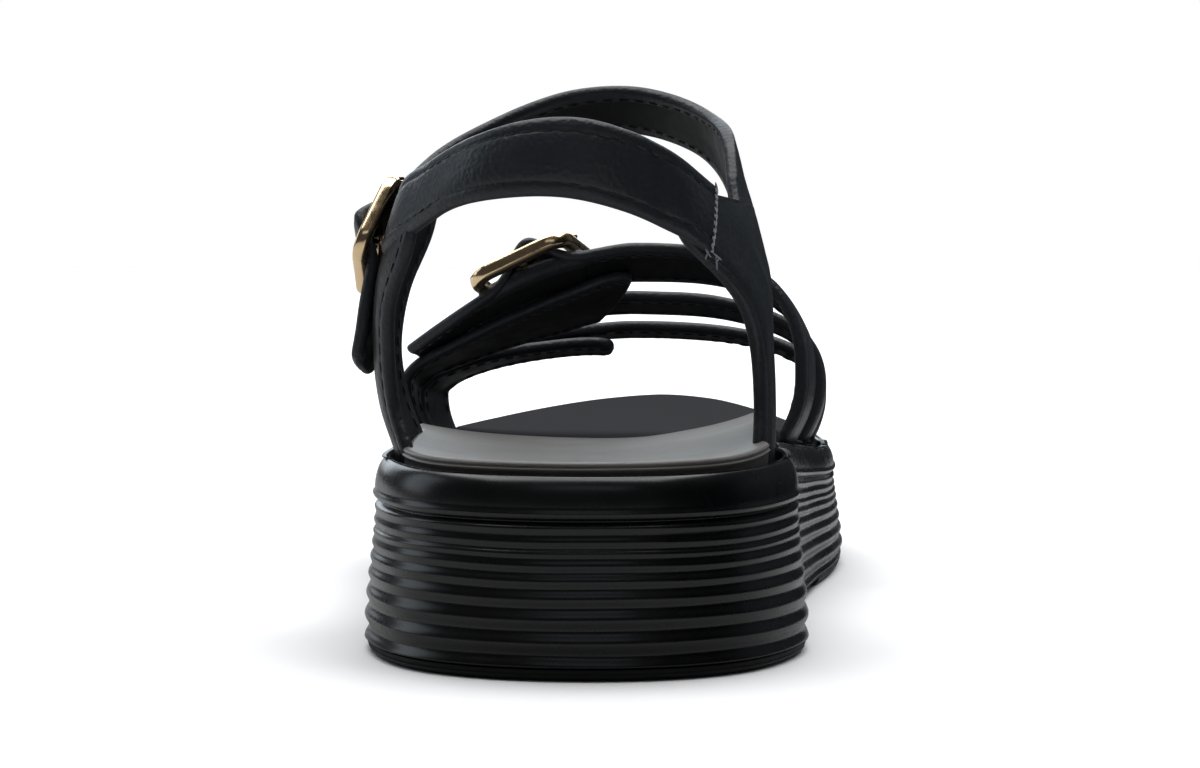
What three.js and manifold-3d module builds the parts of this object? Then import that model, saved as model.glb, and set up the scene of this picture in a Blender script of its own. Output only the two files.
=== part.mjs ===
// Left sandal on a ribbed platform: buckled straps over a moulded footbed.
// Millimetres, +Z up. Stations run from the heel back (0) to the toe; +X is the inner (medial) side.
import * as THREE from 'three';
import { mergeVertices } from 'three/addons/utils/BufferGeometryUtils.js';
import Module from 'manifold-3d';

const wasm = await Module();
wasm.setup();

// ---- driving dimensions ----
const soleLength = 246;
const ballWidth = 87.2;
const heelSeat = 36;        // station of the heel's centre, the object's origin
const leather = 2.2;        // folded and lined strap
const gap = 0.3;            // between pieces that meet
const outsoleHeight = 3.6;
const lugHeight = 1.4;
const rimWidth = 3;         // raised lip round the footbed
const deckDrop = 3;         // footbed deck below the lip
const footbedInset = 4.4;
const notchDepth = 5;       // notches in the footbed's edge run right out
const toeSpring = 5;
const springStart = 188;
const archLift = 1.6;       // waist of the underside above the floor

// ---- sections ----
// half widths as shares of the ball width, stations as shares of the length
const outlineRows = [
  { along: 0.012, lateral: 0.172, medial: 0.172 },
  { along: 0.049, lateral: 0.310, medial: 0.306 },
  { along: 0.130, lateral: 0.404, medial: 0.395 },
  { along: 0.244, lateral: 0.421, medial: 0.388 },
  { along: 0.366, lateral: 0.446, medial: 0.377 },
  { along: 0.488, lateral: 0.490, medial: 0.408 },
  { along: 0.589, lateral: 0.526, medial: 0.447 },
  { along: 0.671, lateral: 0.537, medial: 0.461 },
  { along: 0.752, lateral: 0.508, medial: 0.447 },
  { along: 0.833, lateral: 0.430, medial: 0.399 },
  { along: 0.915, lateral: 0.302, medial: 0.306 },
  { along: 0.976, lateral: 0.135, medial: 0.180 },
];
const toeCentre = 0.028;    // the toe's tip, a share of the ball width to the inner side

// height of the platform's lip
const rimRows = [
  { y: 0, z: 32.4 },
  { y: 55, z: 32.2 },
  { y: 90, z: 30.4 },
  { y: 125, z: 26.8 },
  { y: 155, z: 24.2 },
  { y: 185, z: 23.8 },
  { y: 215, z: 24.9 },
  { y: 246, z: 27.4 },
];

// wall of the platform, top to bottom: share of the height, and how far it stands out
const wallRows = [
  { level: 0.985, out: -1.1 },
  { level: 0.945, out: -0.2 },
  { level: 0.875, out: 0.1 },
  { level: 0.790, out: 0.1 },
  { level: 0.752, out: -0.9 },
  { level: 0.715, out: 0.1 },
  { level: 0.640, out: 0.3 },
  { level: 0.588, out: -0.4 },
  { level: 0.552, out: 0.5 },
  { level: 0.512, out: -0.2 },
  { level: 0.472, out: 0.8 },
  { level: 0.430, out: 0.1 },
  { level: 0.388, out: 1.2 },
  { level: 0.342, out: 0.4 },
  { level: 0.285, out: 1.5 },
  { level: 0.228, out: 0.7 },
  { level: 0.170, out: 1.8 },
];

// the ankle in level rings, inside the straps: middle and half width across, back and front
const ankleRows = [
  { z: 26, middle: -1.0, half: 28.7, back: 13, front: 77 },
  { z: 33, middle: -1.2, half: 29.7, back: 14, front: 76 },
  { z: 41, middle: -2.8, half: 31.4, back: 19, front: 74 },
  { z: 50, middle: -3.7, half: 32.0, back: 20, front: 73 },
  { z: 60, middle: -3.5, half: 31.2, back: 16, front: 76 },
  { z: 70, middle: -2.9, half: 28.6, back: 11, front: 82 },
  { z: 78, middle: -2.8, half: 26.2, back: 9, front: 87 },
  { z: 87, middle: -1.4, half: 22.8, back: 10, front: 81 },
  { z: 96, middle: 1.0, half: 18.6, back: 13, front: 72 },
];

// the forefoot in upright arches, inside the straps: top, its place across, widest level, side swell
const instepRows = [
  { y: 100, top: 74.0, ridge: 0.0, hip: 42, swell: 2.6 },
  { y: 125, top: 64.0, ridge: 1.5, hip: 39, swell: 2.6 },
  { y: 140, top: 57.4, ridge: 1.5, hip: 38, swell: 2.2 },
  { y: 150, top: 53.2, ridge: 1.0, hip: 37, swell: 1.8 },
  { y: 162, top: 49.4, ridge: 0.0, hip: 35, swell: 1.5 },
  { y: 175, top: 45.6, ridge: -1.0, hip: 33, swell: 1.2 },
  { y: 190, top: 42.6, ridge: -1.0, hip: 32, swell: 1.0 },
];
const strapInset = 5.2;       // inner face of a strap's foot from the sole's edge
const lateralSquare = 1.6;    // how square each side of the arch is; 2 is an ellipse
const medialSquare = 2.5;
const underRadius = 24;

// ---- helpers ----
// a smooth curve through one column of a table
function read(rows, key, at, name) {
  let i = 0;
  while (i < rows.length - 2 && at > rows[i + 1][key]) {
    i += 1;
  }
  const slope = (a, b) => (rows[b][name] - rows[a][name]) / (rows[b][key] - rows[a][key]);
  const last = rows.length - 1;
  const span = rows[i + 1][key] - rows[i][key];
  const t = (at - rows[i][key]) / span;
  const m0 = slope(Math.max(i - 1, 0), i + 1) * span;
  const m1 = slope(i, Math.min(i + 2, last)) * span;
  const t2 = t * t;
  const t3 = t2 * t;
  return (2 * t3 - 3 * t2 + 1) * rows[i][name] + (t3 - 2 * t2 + t) * m0
    + (3 * t2 - 2 * t3) * rows[i + 1][name] + (t3 - t2) * m1;
}

// closed skin over rings of equal, even count; each end is closed by rungs from one side to the other
function skin(rings) {
  const count = rings[0].length;
  const positions = rings.flatMap((ring) => ring.flatMap((p) => [p.x, p.y, p.z]));
  const faces = [];
  for (let r = 0; r < rings.length - 1; r += 1) {
    for (let i = 0; i < count; i += 1) {
      const a = r * count + i;
      const b = r * count + ((i + 1) % count);
      faces.push(a, b, b + count, a, b + count, a + count);
    }
  }
  const end = (rings.length - 1) * count;
  for (let i = 0; i < count / 2 - 1; i += 1) {
    const j = count - 1 - i;
    faces.push(i, j, i + 1, i + 1, j, j - 1);
    faces.push(end + i, end + i + 1, end + j, end + i + 1, end + j - 1, end + j);
  }
  const geometry = new THREE.BufferGeometry();
  geometry.setAttribute('position', new THREE.Float32BufferAttribute(positions, 3));
  geometry.setIndex(faces);
  return geometry;
}

function volume(geometry) {
  const p = geometry.getAttribute('position');
  const index = geometry.getIndex();
  const corners = [new THREE.Vector3(), new THREE.Vector3(), new THREE.Vector3()];
  let sum = 0;
  for (let i = 0; i < index.count; i += 3) {
    corners.forEach((c, k) => c.fromBufferAttribute(p, index.getX(i + k)));
    sum += corners[0].dot(corners[1].clone().cross(corners[2]));
  }
  return sum / 6;
}

function solid(source) {
  const bare = source.clone();
  bare.deleteAttribute('normal');
  bare.deleteAttribute('uv');
  const geometry = mergeVertices(bare, 1e-4);
  const index = Uint32Array.from(geometry.getIndex().array);
  if (volume(geometry) < 0) {
    for (let i = 0; i < index.length; i += 3) {
      [index[i], index[i + 1]] = [index[i + 1], index[i]];
    }
  }
  const vertProperties = Float32Array.from(geometry.getAttribute('position').array);
  return new wasm.Manifold(new wasm.Mesh({ numProp: 3, vertProperties, triVerts: index }));
}

function geometryOf(body) {
  const mesh = body.getMesh();
  const geometry = new THREE.BufferGeometry();
  geometry.setAttribute('position', new THREE.Float32BufferAttribute(mesh.vertProperties, 3));
  geometry.setIndex(Array.from(mesh.triVerts));
  geometry.computeVertexNormals();
  return geometry;
}

const join = (bodies) => bodies.reduce((a, b) => a.add(b));

// ---- sole outline ----
const half = (y, side) => ballWidth * read(outlineRows, 'along', y / soleLength, side);
const rimZ = (y) => read(rimRows, 'y', y, 'z');

function floorZ(y) {
  const rise = Math.max(0, (y - springStart) / (soleLength - springStart));
  return toeSpring * rise ** 2;
}

const outlineCurve = new THREE.CatmullRomCurve3([
  new THREE.Vector3(0, 0, 0),
  ...outlineRows.map((r) => new THREE.Vector3(r.medial * ballWidth, r.along * soleLength, 0)),
  new THREE.Vector3(toeCentre * ballWidth, soleLength, 0),
  ...[...outlineRows].reverse().map((r) => new THREE.Vector3(-r.lateral * ballWidth, r.along * soleLength, 0)),
], true, 'centripetal');

// the outline at an offset, positive outwards, seen from above and run anticlockwise
function outline(offset, count) {
  const points = outlineCurve.getSpacedPoints(count).slice(0, count);
  return points.map((p, i) => {
    const before = points[(i + count - 1) % count];
    const after = points[(i + 1) % count];
    const along = after.clone().sub(before).normalize();
    return new THREE.Vector3(p.x + along.y * offset, p.y - along.x * offset, 0);
  });
}

const ringAt = (offset, count, height) => outline(offset, count)
  .map((p) => new THREE.Vector3(p.x, p.y, height(p.y)));

// ---- sole ----
const soleCount = 60;
const treadCount = 36;
const railWidth = 6;          // unbroken edge of the tread
const grooveStart = 19.5;
const grooveEnd = 236;
const groovePitch = 11;
const grooveWidth = 3;
const waist = [88, 126];

// the recess that the footbed lies in
function recess() {
  const edge = outline(-rimWidth, 240);
  const first = rimWidth + 0.4;
  const last = soleLength - rimWidth - 0.4;
  const rings = [];
  for (let i = 0; i <= footbedStations; i += 1) {
    const y = (first + last) / 2 - (last - first) / 2 * Math.cos(Math.PI * i / footbedStations);
    const side = crossing(edge, y);
    const deck = rimZ(y) - deckDrop;
    rings.push([
      new THREE.Vector3(side.lateral, y, deck),
      new THREE.Vector3(side.medial, y, deck),
      new THREE.Vector3(side.medial, y, rimZ(0) + 9),
      new THREE.Vector3(side.lateral, y, rimZ(0) + 9),
    ]);
  }
  return solid(skin(rings));
}

function platform() {
  const wall = solid(skin([
    ringAt(-rimWidth + 0.2, soleCount, (y) => rimZ(y) - 0.1),
    ringAt(-rimWidth + 1.3, soleCount, rimZ),
    ...wallRows.map((row) => ringAt(row.out, soleCount, (y) => floorZ(y) + (rimZ(y) - floorZ(y)) * row.level)),
    ringAt(1.4, soleCount, (y) => floorZ(y) + outsoleHeight + gap),
  ]));
  return wall.subtract(recess());
}

function outsole() {
  const plate = solid(skin([
    ringAt(1.4, soleCount, (y) => floorZ(y) + outsoleHeight),
    ringAt(1.5, soleCount, (y) => floorZ(y) + outsoleHeight - 1),
    ringAt(0.7, soleCount, (y) => floorZ(y) + 0.9),
    ringAt(-0.6, soleCount, floorZ),
  ]));
  const inner = solid(skin([
    ringAt(-railWidth, treadCount, (y) => floorZ(y) + lugHeight),
    ringAt(-railWidth, treadCount, (y) => floorZ(y) - 2),
  ]));
  const grooves = [];
  for (let y = grooveStart; y < grooveEnd; y += groovePitch) {
    if (y < waist[0] || y > waist[1]) {
      const groove = new THREE.BoxGeometry(ballWidth * 1.3, grooveWidth, 30);
      groove.translate(0, y, 0);
      grooves.push(solid(groove));
    }
  }
  // the waist's hollow stands clear of the floor
  const hollow = new THREE.BoxGeometry(ballWidth * 1.3, waist[1] - waist[0], 2 * archLift);
  hollow.translate(0, (waist[0] + waist[1]) / 2, 0);
  return plate.subtract(inner.intersect(join(grooves))).subtract(solid(hollow));
}

// ---- footbed ----
const footbedStations = 34;
const footbedAcross = [-0.97, -0.85, -0.65, -0.35, 0, 0.35, 0.65, 0.85, 0.97];
const footbedRows = [
  { y: 0, edge: 2.0, seat: -0.4 },
  { y: 30, edge: 1.8, seat: -0.9 },
  { y: 60, edge: 2.8, seat: 0.0 },
  { y: 85, edge: 3.2, seat: 1.0 },
  { y: 120, edge: 1.8, seat: 0.6 },
  { y: 160, edge: 1.2, seat: 0.2 },
  { y: 246, edge: 1.2, seat: 0.6 },
];
const archRise = 3.2;         // the inner side of the waist above the outer side
const archCentre = 72;
const archReach = 34;
const cupReach = 24;          // the heel's rolled edge rises over this length

// the top surface: across runs from -1, the outer edge, to 1, the inner edge
function footbedZ(across, y) {
  const edge = read(footbedRows, 'y', y, 'edge');
  const seat = read(footbedRows, 'y', y, 'seat');
  const arch = archRise * Math.max(0, across) ** 2 * Math.exp(-(((y - archCentre) / archReach) ** 2));
  const toBack = Math.max(0, 1 - (y - footbedInset) / cupReach);
  const toToe = Math.max(0, 1 - (soleLength - footbedInset - y) / cupReach);
  const roll = Math.min(1, Math.max(Math.abs(across), toBack, toToe));
  return rimZ(y) + seat + (edge - seat) * roll ** 3 + arch;
}

// where an inset outline crosses a station, on the outer and the inner side
function crossing(points, y) {
  const hits = [];
  points.forEach((p, i) => {
    const q = points[(i + 1) % points.length];
    if ((p.y - y) * (q.y - y) < 0) {
      hits.push(p.x + (q.x - p.x) * (y - p.y) / (q.y - p.y));
    }
  });
  return { lateral: Math.min(...hits), medial: Math.max(...hits) };
}

function footbed() {
  const edge = outline(-footbedInset, 240);
  const first = footbedInset + 0.6;
  const last = soleLength - footbedInset - 0.6;
  const rings = [];
  for (let i = 0; i <= footbedStations; i += 1) {
    const y = (first + last) / 2 - (last - first) / 2 * Math.cos(Math.PI * i / footbedStations);
    const side = crossing(edge, y);
    const deck = rimZ(y) - deckDrop + gap;
    const at = (across) => side.lateral + (side.medial - side.lateral) * (across + 1) / 2;
    rings.push([
      new THREE.Vector3(at(-0.98), y, deck),
      new THREE.Vector3(at(-1), y, footbedZ(-1, y) - 1.4),
      ...footbedAcross.map((across) => new THREE.Vector3(at(across), y, footbedZ(across, y))),
      new THREE.Vector3(at(1), y, footbedZ(1, y) - 1.4),
      new THREE.Vector3(at(0.98), y, deck),
    ]);
  }
  return solid(skin(rings));
}

// ---- straps ----
const strapSteps = 3;         // sections between two rows of a table
const buckledSteps = 4;
const domeReach = 0.6;        // of a row

// a point of the ankle: angle in degrees from the heel back, positive round the inner side
function ankle(angle, z) {
  const t = THREE.MathUtils.degToRad(angle);
  const back = read(ankleRows, 'z', z, 'back');
  const front = read(ankleRows, 'z', z, 'front');
  const x = read(ankleRows, 'z', z, 'middle') + read(ankleRows, 'z', z, 'half') * Math.sin(t);
  return new THREE.Vector3(x, (back + front) / 2 - (front - back) / 2 * Math.cos(t), z);
}

// a point of the forefoot: angle in degrees from the outer side over the top to the inner side
function instep(angle, y) {
  const t = THREE.MathUtils.degToRad(angle);
  const medial = Math.cos(t) < 0;
  const hip = read(instepRows, 'y', y, 'hip');
  const ridge = read(instepRows, 'y', y, 'ridge');
  const wide = half(y, medial ? 'medial' : 'lateral') - strapInset + read(instepRows, 'y', y, 'swell');
  const reach = medial ? wide - ridge : wide + ridge;
  const square = 2 / (medial ? medialSquare : lateralSquare);
  const out = medial ? 1 : -1;
  if (Math.sin(t) < 0) {
    return new THREE.Vector3(ridge + out * reach * Math.abs(Math.cos(t)), y, hip + underRadius * Math.sin(t));
  }
  const rise = read(instepRows, 'y', y, 'top') - hip;
  const across = Math.abs(Math.cos(t)) ** square;
  return new THREE.Vector3(ridge + out * reach * across, y, hip + rise * Math.sin(t) ** square);
}

// outward normal of either surface
function normalOf(surface, u, v) {
  const du = surface(u + 0.5, v).sub(surface(u - 0.5, v));
  const dv = surface(u, v + 0.25).sub(surface(u, v - 0.25));
  return du.cross(dv).normalize();
}

// rows name each section's two edges on a surface; lift is the height above the foot
function place(surface, rows, at, across, height) {
  const value = (name) => read(rows.map((r, i) => ({ ...r, i })), 'i', at, name);
  const u = THREE.MathUtils.lerp(value('a'), value('c'), across);
  const v = THREE.MathUtils.lerp(value('b'), value('d'), across);
  const lift = value('lift') + height;
  return surface(u, v).add(normalOf(surface, u, v).multiplyScalar(lift));
}

// a strap rises in a dome over the pin of the buckle that it passes
function strap(surface, rows, { thickness = leather, low = 0, buckle = null } = {}) {
  const rings = [];
  const steps = buckle ? buckledSteps : strapSteps;
  for (let i = 0; i <= (rows.length - 1) * steps; i += 1) {
    const at = i / steps;
    const dome = buckle ? buckle.dome * Math.exp(-(((at - buckle.at) / domeReach) ** 2)) : 0;
    rings.push([
      ...[0, 0.5, 1].map((s) => place(surface, rows, at, s, low + dome)),
      ...[1, 0.5, 0].map((s) => place(surface, rows, at, s, low + dome + thickness)),
    ]);
  }
  return solid(skin(rings));
}

const table = (rows) => rows.map(([a, b, c, d, lift = 0]) => ({ a, b, c, d, lift }));

// heel strap: angle and level of the lower edge, then of the upper edge
const heelStrap = table([
  [-84, 63.5, -84, 75.5],
  [-57, 70.0, -60, 81.2],
  [-38, 74.2, -38, 85.4],
  [-18, 76.2, -18, 88.0],
  [2, 76.4, 2, 88.7],
  [20, 74.3, 20, 87.2],
  [36, 70.6, 36, 84.2],
  [50, 66.2, 59, 76.2],
  [74, 59.0, 76, 72.5],
]);

// side legs from the sole up: angle and level of the rear edge, then of the front edge
const medialQuarter = table([
  [72, 27.5, 108, 27.5],
  [72, 34.0, 108, 34.0],
  [73, 42.0, 108, 42.0],
  [71, 50.0, 108, 50.0],
  [64, 58.0, 111, 58.5],
  [54, 65.0, 112, 67.5],
  [60, 71.0, 113, 74.0],
]);
const lateralQuarter = table([
  [-67, 27.5, -111, 27.5],
  [-66, 34.0, -111, 34.0],
  [-66, 42.0, -110, 42.0, -0.5],
  [-65, 50.0, -110, 50.0, -0.8],
  [-64, 58.0, -113, 59.0, -0.5],
  [-58, 66.0, -118, 68.0],
  [-60, 74.5, -115, 77.0],
]);

// ankle strap, from the inner leg over the front and down through the outer buckle to its tail
const ankleStrap = table([
  [62, 62.0, 108, 60.0],
  [68, 72.0, 108, 69.0],
  [76, 80.0, 112, 76.5],
  [94, 85.6, 124, 80.8],
  [120, 89.2, 140, 83.6],
  [146, 92.2, 158, 85.4],
  [170, 93.4, 176, 86.0],
  [194, 92.6, 195, 84.8],
  [215, 90.0, 212, 81.5],
  [234, 86.0, 225, 77.4, 0.4],
  [250, 81.0, 236, 72.2, 1.6],
  [264, 75.6, 246, 67.6, 2.0],
  [271, 68.8, 252, 63.2, 2.0],
  [274, 61.4, 254, 57.4, 2.0],
  [276, 54.0, 256, 51.8, 2.2],
  [276, 49.0, 257, 45.0, 3.2],
]);

// outer bands of the forefoot, foot to free end: angle and station of the rear edge, then of the front
const instepBand = table([
  [-32, 145, -32, 164],
  [-12, 146, -12, 165],
  [12, 147, 12, 166, -0.6],
  [32, 146, 34, 166, -1.8],
  [52, 143, 54, 165, -2.0],
  [68, 139, 66, 163, -2.0],
  [80, 135, 72, 160, -2.0],
  [91, 134, 77, 157, -2.2],
]);
const toeBand = table([
  [-28, 168, -28, 187],
  [-10, 169, -10, 188],
  [14, 169, 14, 187, -0.6],
  [36, 170, 36, 185, -1.4],
  [56, 171, 56, 183, -2.4],
  [72, 171, 71, 182, -3.2],
  [83, 172, 80, 181, -4.0],
]);

// straps over the forefoot from the inner side to the outer: rear edge, then front edge
const instepStrap = table([
  [212, 117, 212, 131],
  [196, 118, 196, 132],
  [178, 120, 178, 134],
  [158, 122, 158, 137],
  [136, 124, 136, 139],
  [114, 125, 114, 140],
  [95, 126, 95, 141],
  [80, 127, 80, 142],
  [68, 128, 68, 143, 0.2],
  [57, 129, 57, 144, 0.2],
  [46, 131, 46, 146, 0.2],
  [35, 134, 35, 149, 0.2],
  [24, 138, 25, 153, 0.8],
  [12, 142, 15, 157, 2.0],
]);
const ballStrap = table([
  [210, 146, 210, 157],
  [196, 147, 196, 158],
  [178, 148, 178, 159],
  [156, 149, 156, 160],
  [130, 150, 130, 161],
  [104, 150, 104, 161],
  [84, 150, 84, 161],
  [60, 151, 60, 162],
  [40, 153, 40, 163],
]);
const toeStrap = table([
  [208, 165, 208, 175],
  [196, 166, 196, 176],
  [178, 168, 178, 178],
  [156, 171, 156, 181],
  [130, 173, 130, 183],
  [104, 174, 104, 184],
  [84, 174, 84, 184],
  [60, 174, 60, 184],
  [40, 174, 40, 184],
]);

// the room that a strap's foot takes in the sole, or the notch that it takes in the footbed's edge
function slot(surface, rows, outward) {
  const feet = rows.slice(0, 4).map((r, i) => {
    const spread = Math.sign(r.c - r.a) || 1;
    const aside = surface === ankle ? { a: r.a - spread, c: r.c + spread } : { b: r.b - 0.5, d: r.d + 0.5 };
    const deeper = i > 0 ? {} : surface === ankle ? { b: r.b - 1, d: r.d - 1 } : { a: r.a + Math.sign(r.a) * 2, c: r.c + Math.sign(r.c) * 2 };
    return { ...r, ...aside, ...deeper };
  });
  return strap(surface, feet, { thickness: leather + 2 * gap + outward, low: -gap });
}

// ---- buckles ----
// local axes: X along the strap, Y across it, Z away from the foot
function frameShape(length, width, corner) {
  const shape = new THREE.Shape();
  const x = length / 2;
  const y = width / 2;
  shape.moveTo(-x + corner, -y);
  shape.lineTo(x - corner, -y);
  shape.absarc(x - corner, -y + corner, corner, -Math.PI / 2, 0);
  shape.lineTo(x, y - corner);
  shape.absarc(x - corner, y - corner, corner, 0, Math.PI / 2);
  shape.lineTo(-x + corner, y);
  shape.absarc(-x + corner, y - corner, corner, Math.PI / 2, Math.PI);
  shape.lineTo(-x, -y + corner);
  shape.absarc(-x + corner, -y + corner, corner, Math.PI, Math.PI * 1.5);
  return shape;
}

function buckleFrame(size) {
  const shape = frameShape(size.length, size.width, size.corner);
  const inside = Math.max(size.corner - size.bar, 0.8);
  shape.holes.push(frameShape(size.length - 2 * size.bar, size.width - 2 * size.bar, inside));
  const bevel = 0.6;
  const ring = new THREE.ExtrudeGeometry(shape, {
    depth: size.thick - 2 * bevel,
    bevelThickness: bevel,
    bevelSize: bevel,
    bevelOffset: -bevel,
    bevelSegments: 1,
    curveSegments: 4,
  });
  ring.translate(0, 0, bevel);
  const bar = new THREE.CylinderGeometry(size.pin / 2, size.pin / 2, size.width - size.bar, 10);
  bar.translate(0, 0, size.pin / 2);
  return solid(ring).add(solid(bar));
}

function buckleProng(size) {
  const rest = size.thick + gap;
  const end = size.length / 2 + 0.4;
  const path = new THREE.CatmullRomCurve3([
    new THREE.Vector3(size.pin / 2 + gap + 0.6, 0, size.pin / 2),
    new THREE.Vector3(size.pin / 2 + 2.2, 0, size.pin + 1.4),
    new THREE.Vector3(end * 0.6, 0, rest + 1.9),
    new THREE.Vector3(end - 1.4, 0, rest + 0.9),
    new THREE.Vector3(end, 0, rest + 0.7),
  ]);
  const section = new THREE.Shape();
  section.absellipse(0, 0, 0.55, 0.9, 0, Math.PI * 2);
  return solid(new THREE.ExtrudeGeometry(section, { steps: 8, extrudePath: path, bevelEnabled: false, curveSegments: 4 }));
}

// at is the buckle's row on its strap, under the lift of the strap's inner face beside the buckle;
// tilt raises the frame's end on the side that the strap comes from, fullness raises the dome over the pin
function buckle(size) {
  const lift = size.under + leather + gap;
  return { ...size, lift, dome: lift + size.pin + gap - size.under + size.fullness };
}

const instepBuckle = buckle({
  length: 22, width: 21.6, corner: 5, bar: 2.8, thick: 2.4, pin: 2, under: 0.9, at: 8.7, tilt: 6, fullness: 1.2,
});
const ankleBuckle = buckle({
  length: 17.5, width: 18.4, corner: 4.5, bar: 2.5, thick: 2, pin: 1.6, under: 2, at: 11.8, tilt: 0, fullness: 0.8,
});

// the buckle's axes on its strap
function buckleMatrix(surface, rows, size) {
  const flat = rows.map((r) => ({ ...r, lift: 0 }));
  const here = place(surface, flat, size.at, 0.5, 0);
  const ahead = place(surface, flat, size.at + 0.4, 0.5, 0);
  const behind = place(surface, flat, size.at - 0.4, 0.5, 0);
  const along = behind.sub(ahead).normalize();
  const side = place(surface, flat, size.at, 1, 0).sub(place(surface, flat, size.at, 0, 0));
  const out = along.clone().cross(side).normalize();
  if (out.dot(here.clone().sub(new THREE.Vector3(0, here.y, 45))) < 0) {
    out.negate();
  }
  const over = out.clone().cross(along).normalize();
  const tilt = THREE.MathUtils.degToRad(-size.tilt);
  along.applyAxisAngle(over, tilt);
  out.applyAxisAngle(over, tilt);
  const matrix = new THREE.Matrix4().makeBasis(along, over, out);
  matrix.setPosition(here.add(out.multiplyScalar(size.lift)));
  return matrix;
}

// ---- pieces ----
const blackLeather = { color: 0x17191c, roughness: 0.55, metalness: 0 };
const blackRubber = { color: 0x141618, roughness: 0.5, metalness: 0 };
const paleGold = { color: 0xd9b56c, roughness: 0.2, metalness: 1 };

const sandal = new THREE.Group();
sandal.position.y = -heelSeat;

function addPiece(name, body, finish) {
  const mesh = new THREE.Mesh(geometryOf(body), new THREE.MeshStandardMaterial(finish));
  mesh.name = name;
  sandal.add(mesh);
}

function addPlaced(name, body, finish, matrix) {
  const mesh = new THREE.Mesh(geometryOf(body), new THREE.MeshStandardMaterial(finish));
  mesh.name = name;
  mesh.applyMatrix4(matrix);
  sandal.add(mesh);
}

// what a buckle takes from its strap: the prong's hole, and dents where the frame presses
function buckleRoom(size, matrix) {
  const hole = new THREE.BoxGeometry(7, 2.6, 9);
  hole.translate(size.pin / 2 + 3.2, 0, size.pin + 0.8);
  const wider = {
    ...size,
    length: size.length + 2 * gap,
    width: size.width + 2 * gap,
    bar: size.bar + 2 * gap,
    thick: size.thick + 2 * gap,
    pin: size.pin + 2 * gap,
  };
  const dent = new THREE.Matrix4().makeTranslation(0, 0, -gap);
  return solid(hole).add(buckleFrame(wider).transform(dent.elements)).transform(matrix.elements);
}

const instepMatrix = buckleMatrix(instep, instepStrap, instepBuckle);
const ankleMatrix = buckleMatrix(ankle, ankleStrap, ankleBuckle);

const feet = (outward) => join([
  slot(ankle, medialQuarter, outward),
  slot(ankle, lateralQuarter, outward),
  slot(instep, instepBand, outward),
  slot(instep, toeBand, outward),
  slot(instep, instepStrap, outward),
  slot(instep, ballStrap, outward),
  slot(instep, toeStrap, outward),
]);

const upperAnkle = join([
  strap(ankle, heelStrap),
  strap(ankle, medialQuarter),
  strap(ankle, lateralQuarter),
  strap(ankle, ankleStrap, { buckle: ankleBuckle }),
]).subtract(buckleRoom(ankleBuckle, ankleMatrix));

const upperInstep = join([
  strap(instep, instepBand),
  strap(instep, instepStrap, { buckle: instepBuckle }),
  strap(instep, ballStrap),
]).subtract(buckleRoom(instepBuckle, instepMatrix));

const upperToe = join([strap(instep, toeBand), strap(instep, toeStrap)]);

addPiece('outsole', outsole(), blackRubber);
addPiece('platform', platform().subtract(feet(0)), blackRubber);
addPiece('footbed', footbed().subtract(feet(notchDepth)), blackLeather);
addPiece('upper_ankle_straps', upperAnkle, blackLeather);
addPiece('upper_instep_straps', upperInstep, blackLeather);
addPiece('upper_toe_straps', upperToe, blackLeather);
addPlaced('instep_buckle_frame', buckleFrame(instepBuckle), paleGold, instepMatrix);
addPlaced('instep_buckle_prong', buckleProng(instepBuckle), paleGold, instepMatrix);
addPlaced('ankle_buckle_frame', buckleFrame(ankleBuckle), paleGold, ankleMatrix);
addPlaced('ankle_buckle_prong', buckleProng(ankleBuckle), paleGold, ankleMatrix);

export default sandal;
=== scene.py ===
import math
import bmesh
import bpy
from mathutils import Matrix, Vector, noise


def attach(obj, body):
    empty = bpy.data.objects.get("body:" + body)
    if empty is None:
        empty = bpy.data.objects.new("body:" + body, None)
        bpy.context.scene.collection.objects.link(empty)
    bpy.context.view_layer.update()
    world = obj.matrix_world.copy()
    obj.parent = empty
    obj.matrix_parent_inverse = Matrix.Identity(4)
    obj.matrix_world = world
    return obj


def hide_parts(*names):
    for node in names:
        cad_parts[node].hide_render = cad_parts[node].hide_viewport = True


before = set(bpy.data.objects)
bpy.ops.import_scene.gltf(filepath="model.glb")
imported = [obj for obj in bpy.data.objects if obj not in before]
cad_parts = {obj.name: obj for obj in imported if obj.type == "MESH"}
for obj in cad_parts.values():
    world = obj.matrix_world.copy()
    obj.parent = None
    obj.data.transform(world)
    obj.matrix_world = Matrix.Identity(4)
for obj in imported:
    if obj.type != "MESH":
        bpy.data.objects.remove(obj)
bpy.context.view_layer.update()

print("frame loaded:", len(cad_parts), "parts")

# Lengths in the tables are millimetres. Stations run from the heel back to the toe, +X is the inner side.
sole = {
    "length": 246,
    "ballWidth": 87.2,
    "heelSeat": 36,         # station of the frame's origin
    "toeCentre": 0.028,
    "toeSpring": 5,
    "springStart": 188,
    "outsoleHeight": 3.6,
    "gap": 0.3,
}
pieces = {}


def table(names, *rows):
    return [dict(zip(names.split(), row)) for row in rows]


def metres(x, y, z):
    return Vector((x, y - sole["heelSeat"], z)) * 0.001


def readTable(rows, key, at, name):  # smooth curve through one column
    i = 0
    while i < len(rows) - 2 and at > rows[i + 1][key]:
        i += 1
    last = len(rows) - 1

    def slope(a, b):
        return (rows[b][name] - rows[a][name]) / (rows[b][key] - rows[a][key])

    span = rows[i + 1][key] - rows[i][key]
    t = (at - rows[i][key]) / span
    start = slope(max(i - 1, 0), i + 1) * span
    end = slope(i, min(i + 2, last)) * span
    return ((2 * t**3 - 3 * t**2 + 1) * rows[i][name] + (t**3 - 2 * t**2 + t) * start
            + (3 * t**2 - 2 * t**3) * rows[i + 1][name] + (t**3 - t**2) * end)


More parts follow.
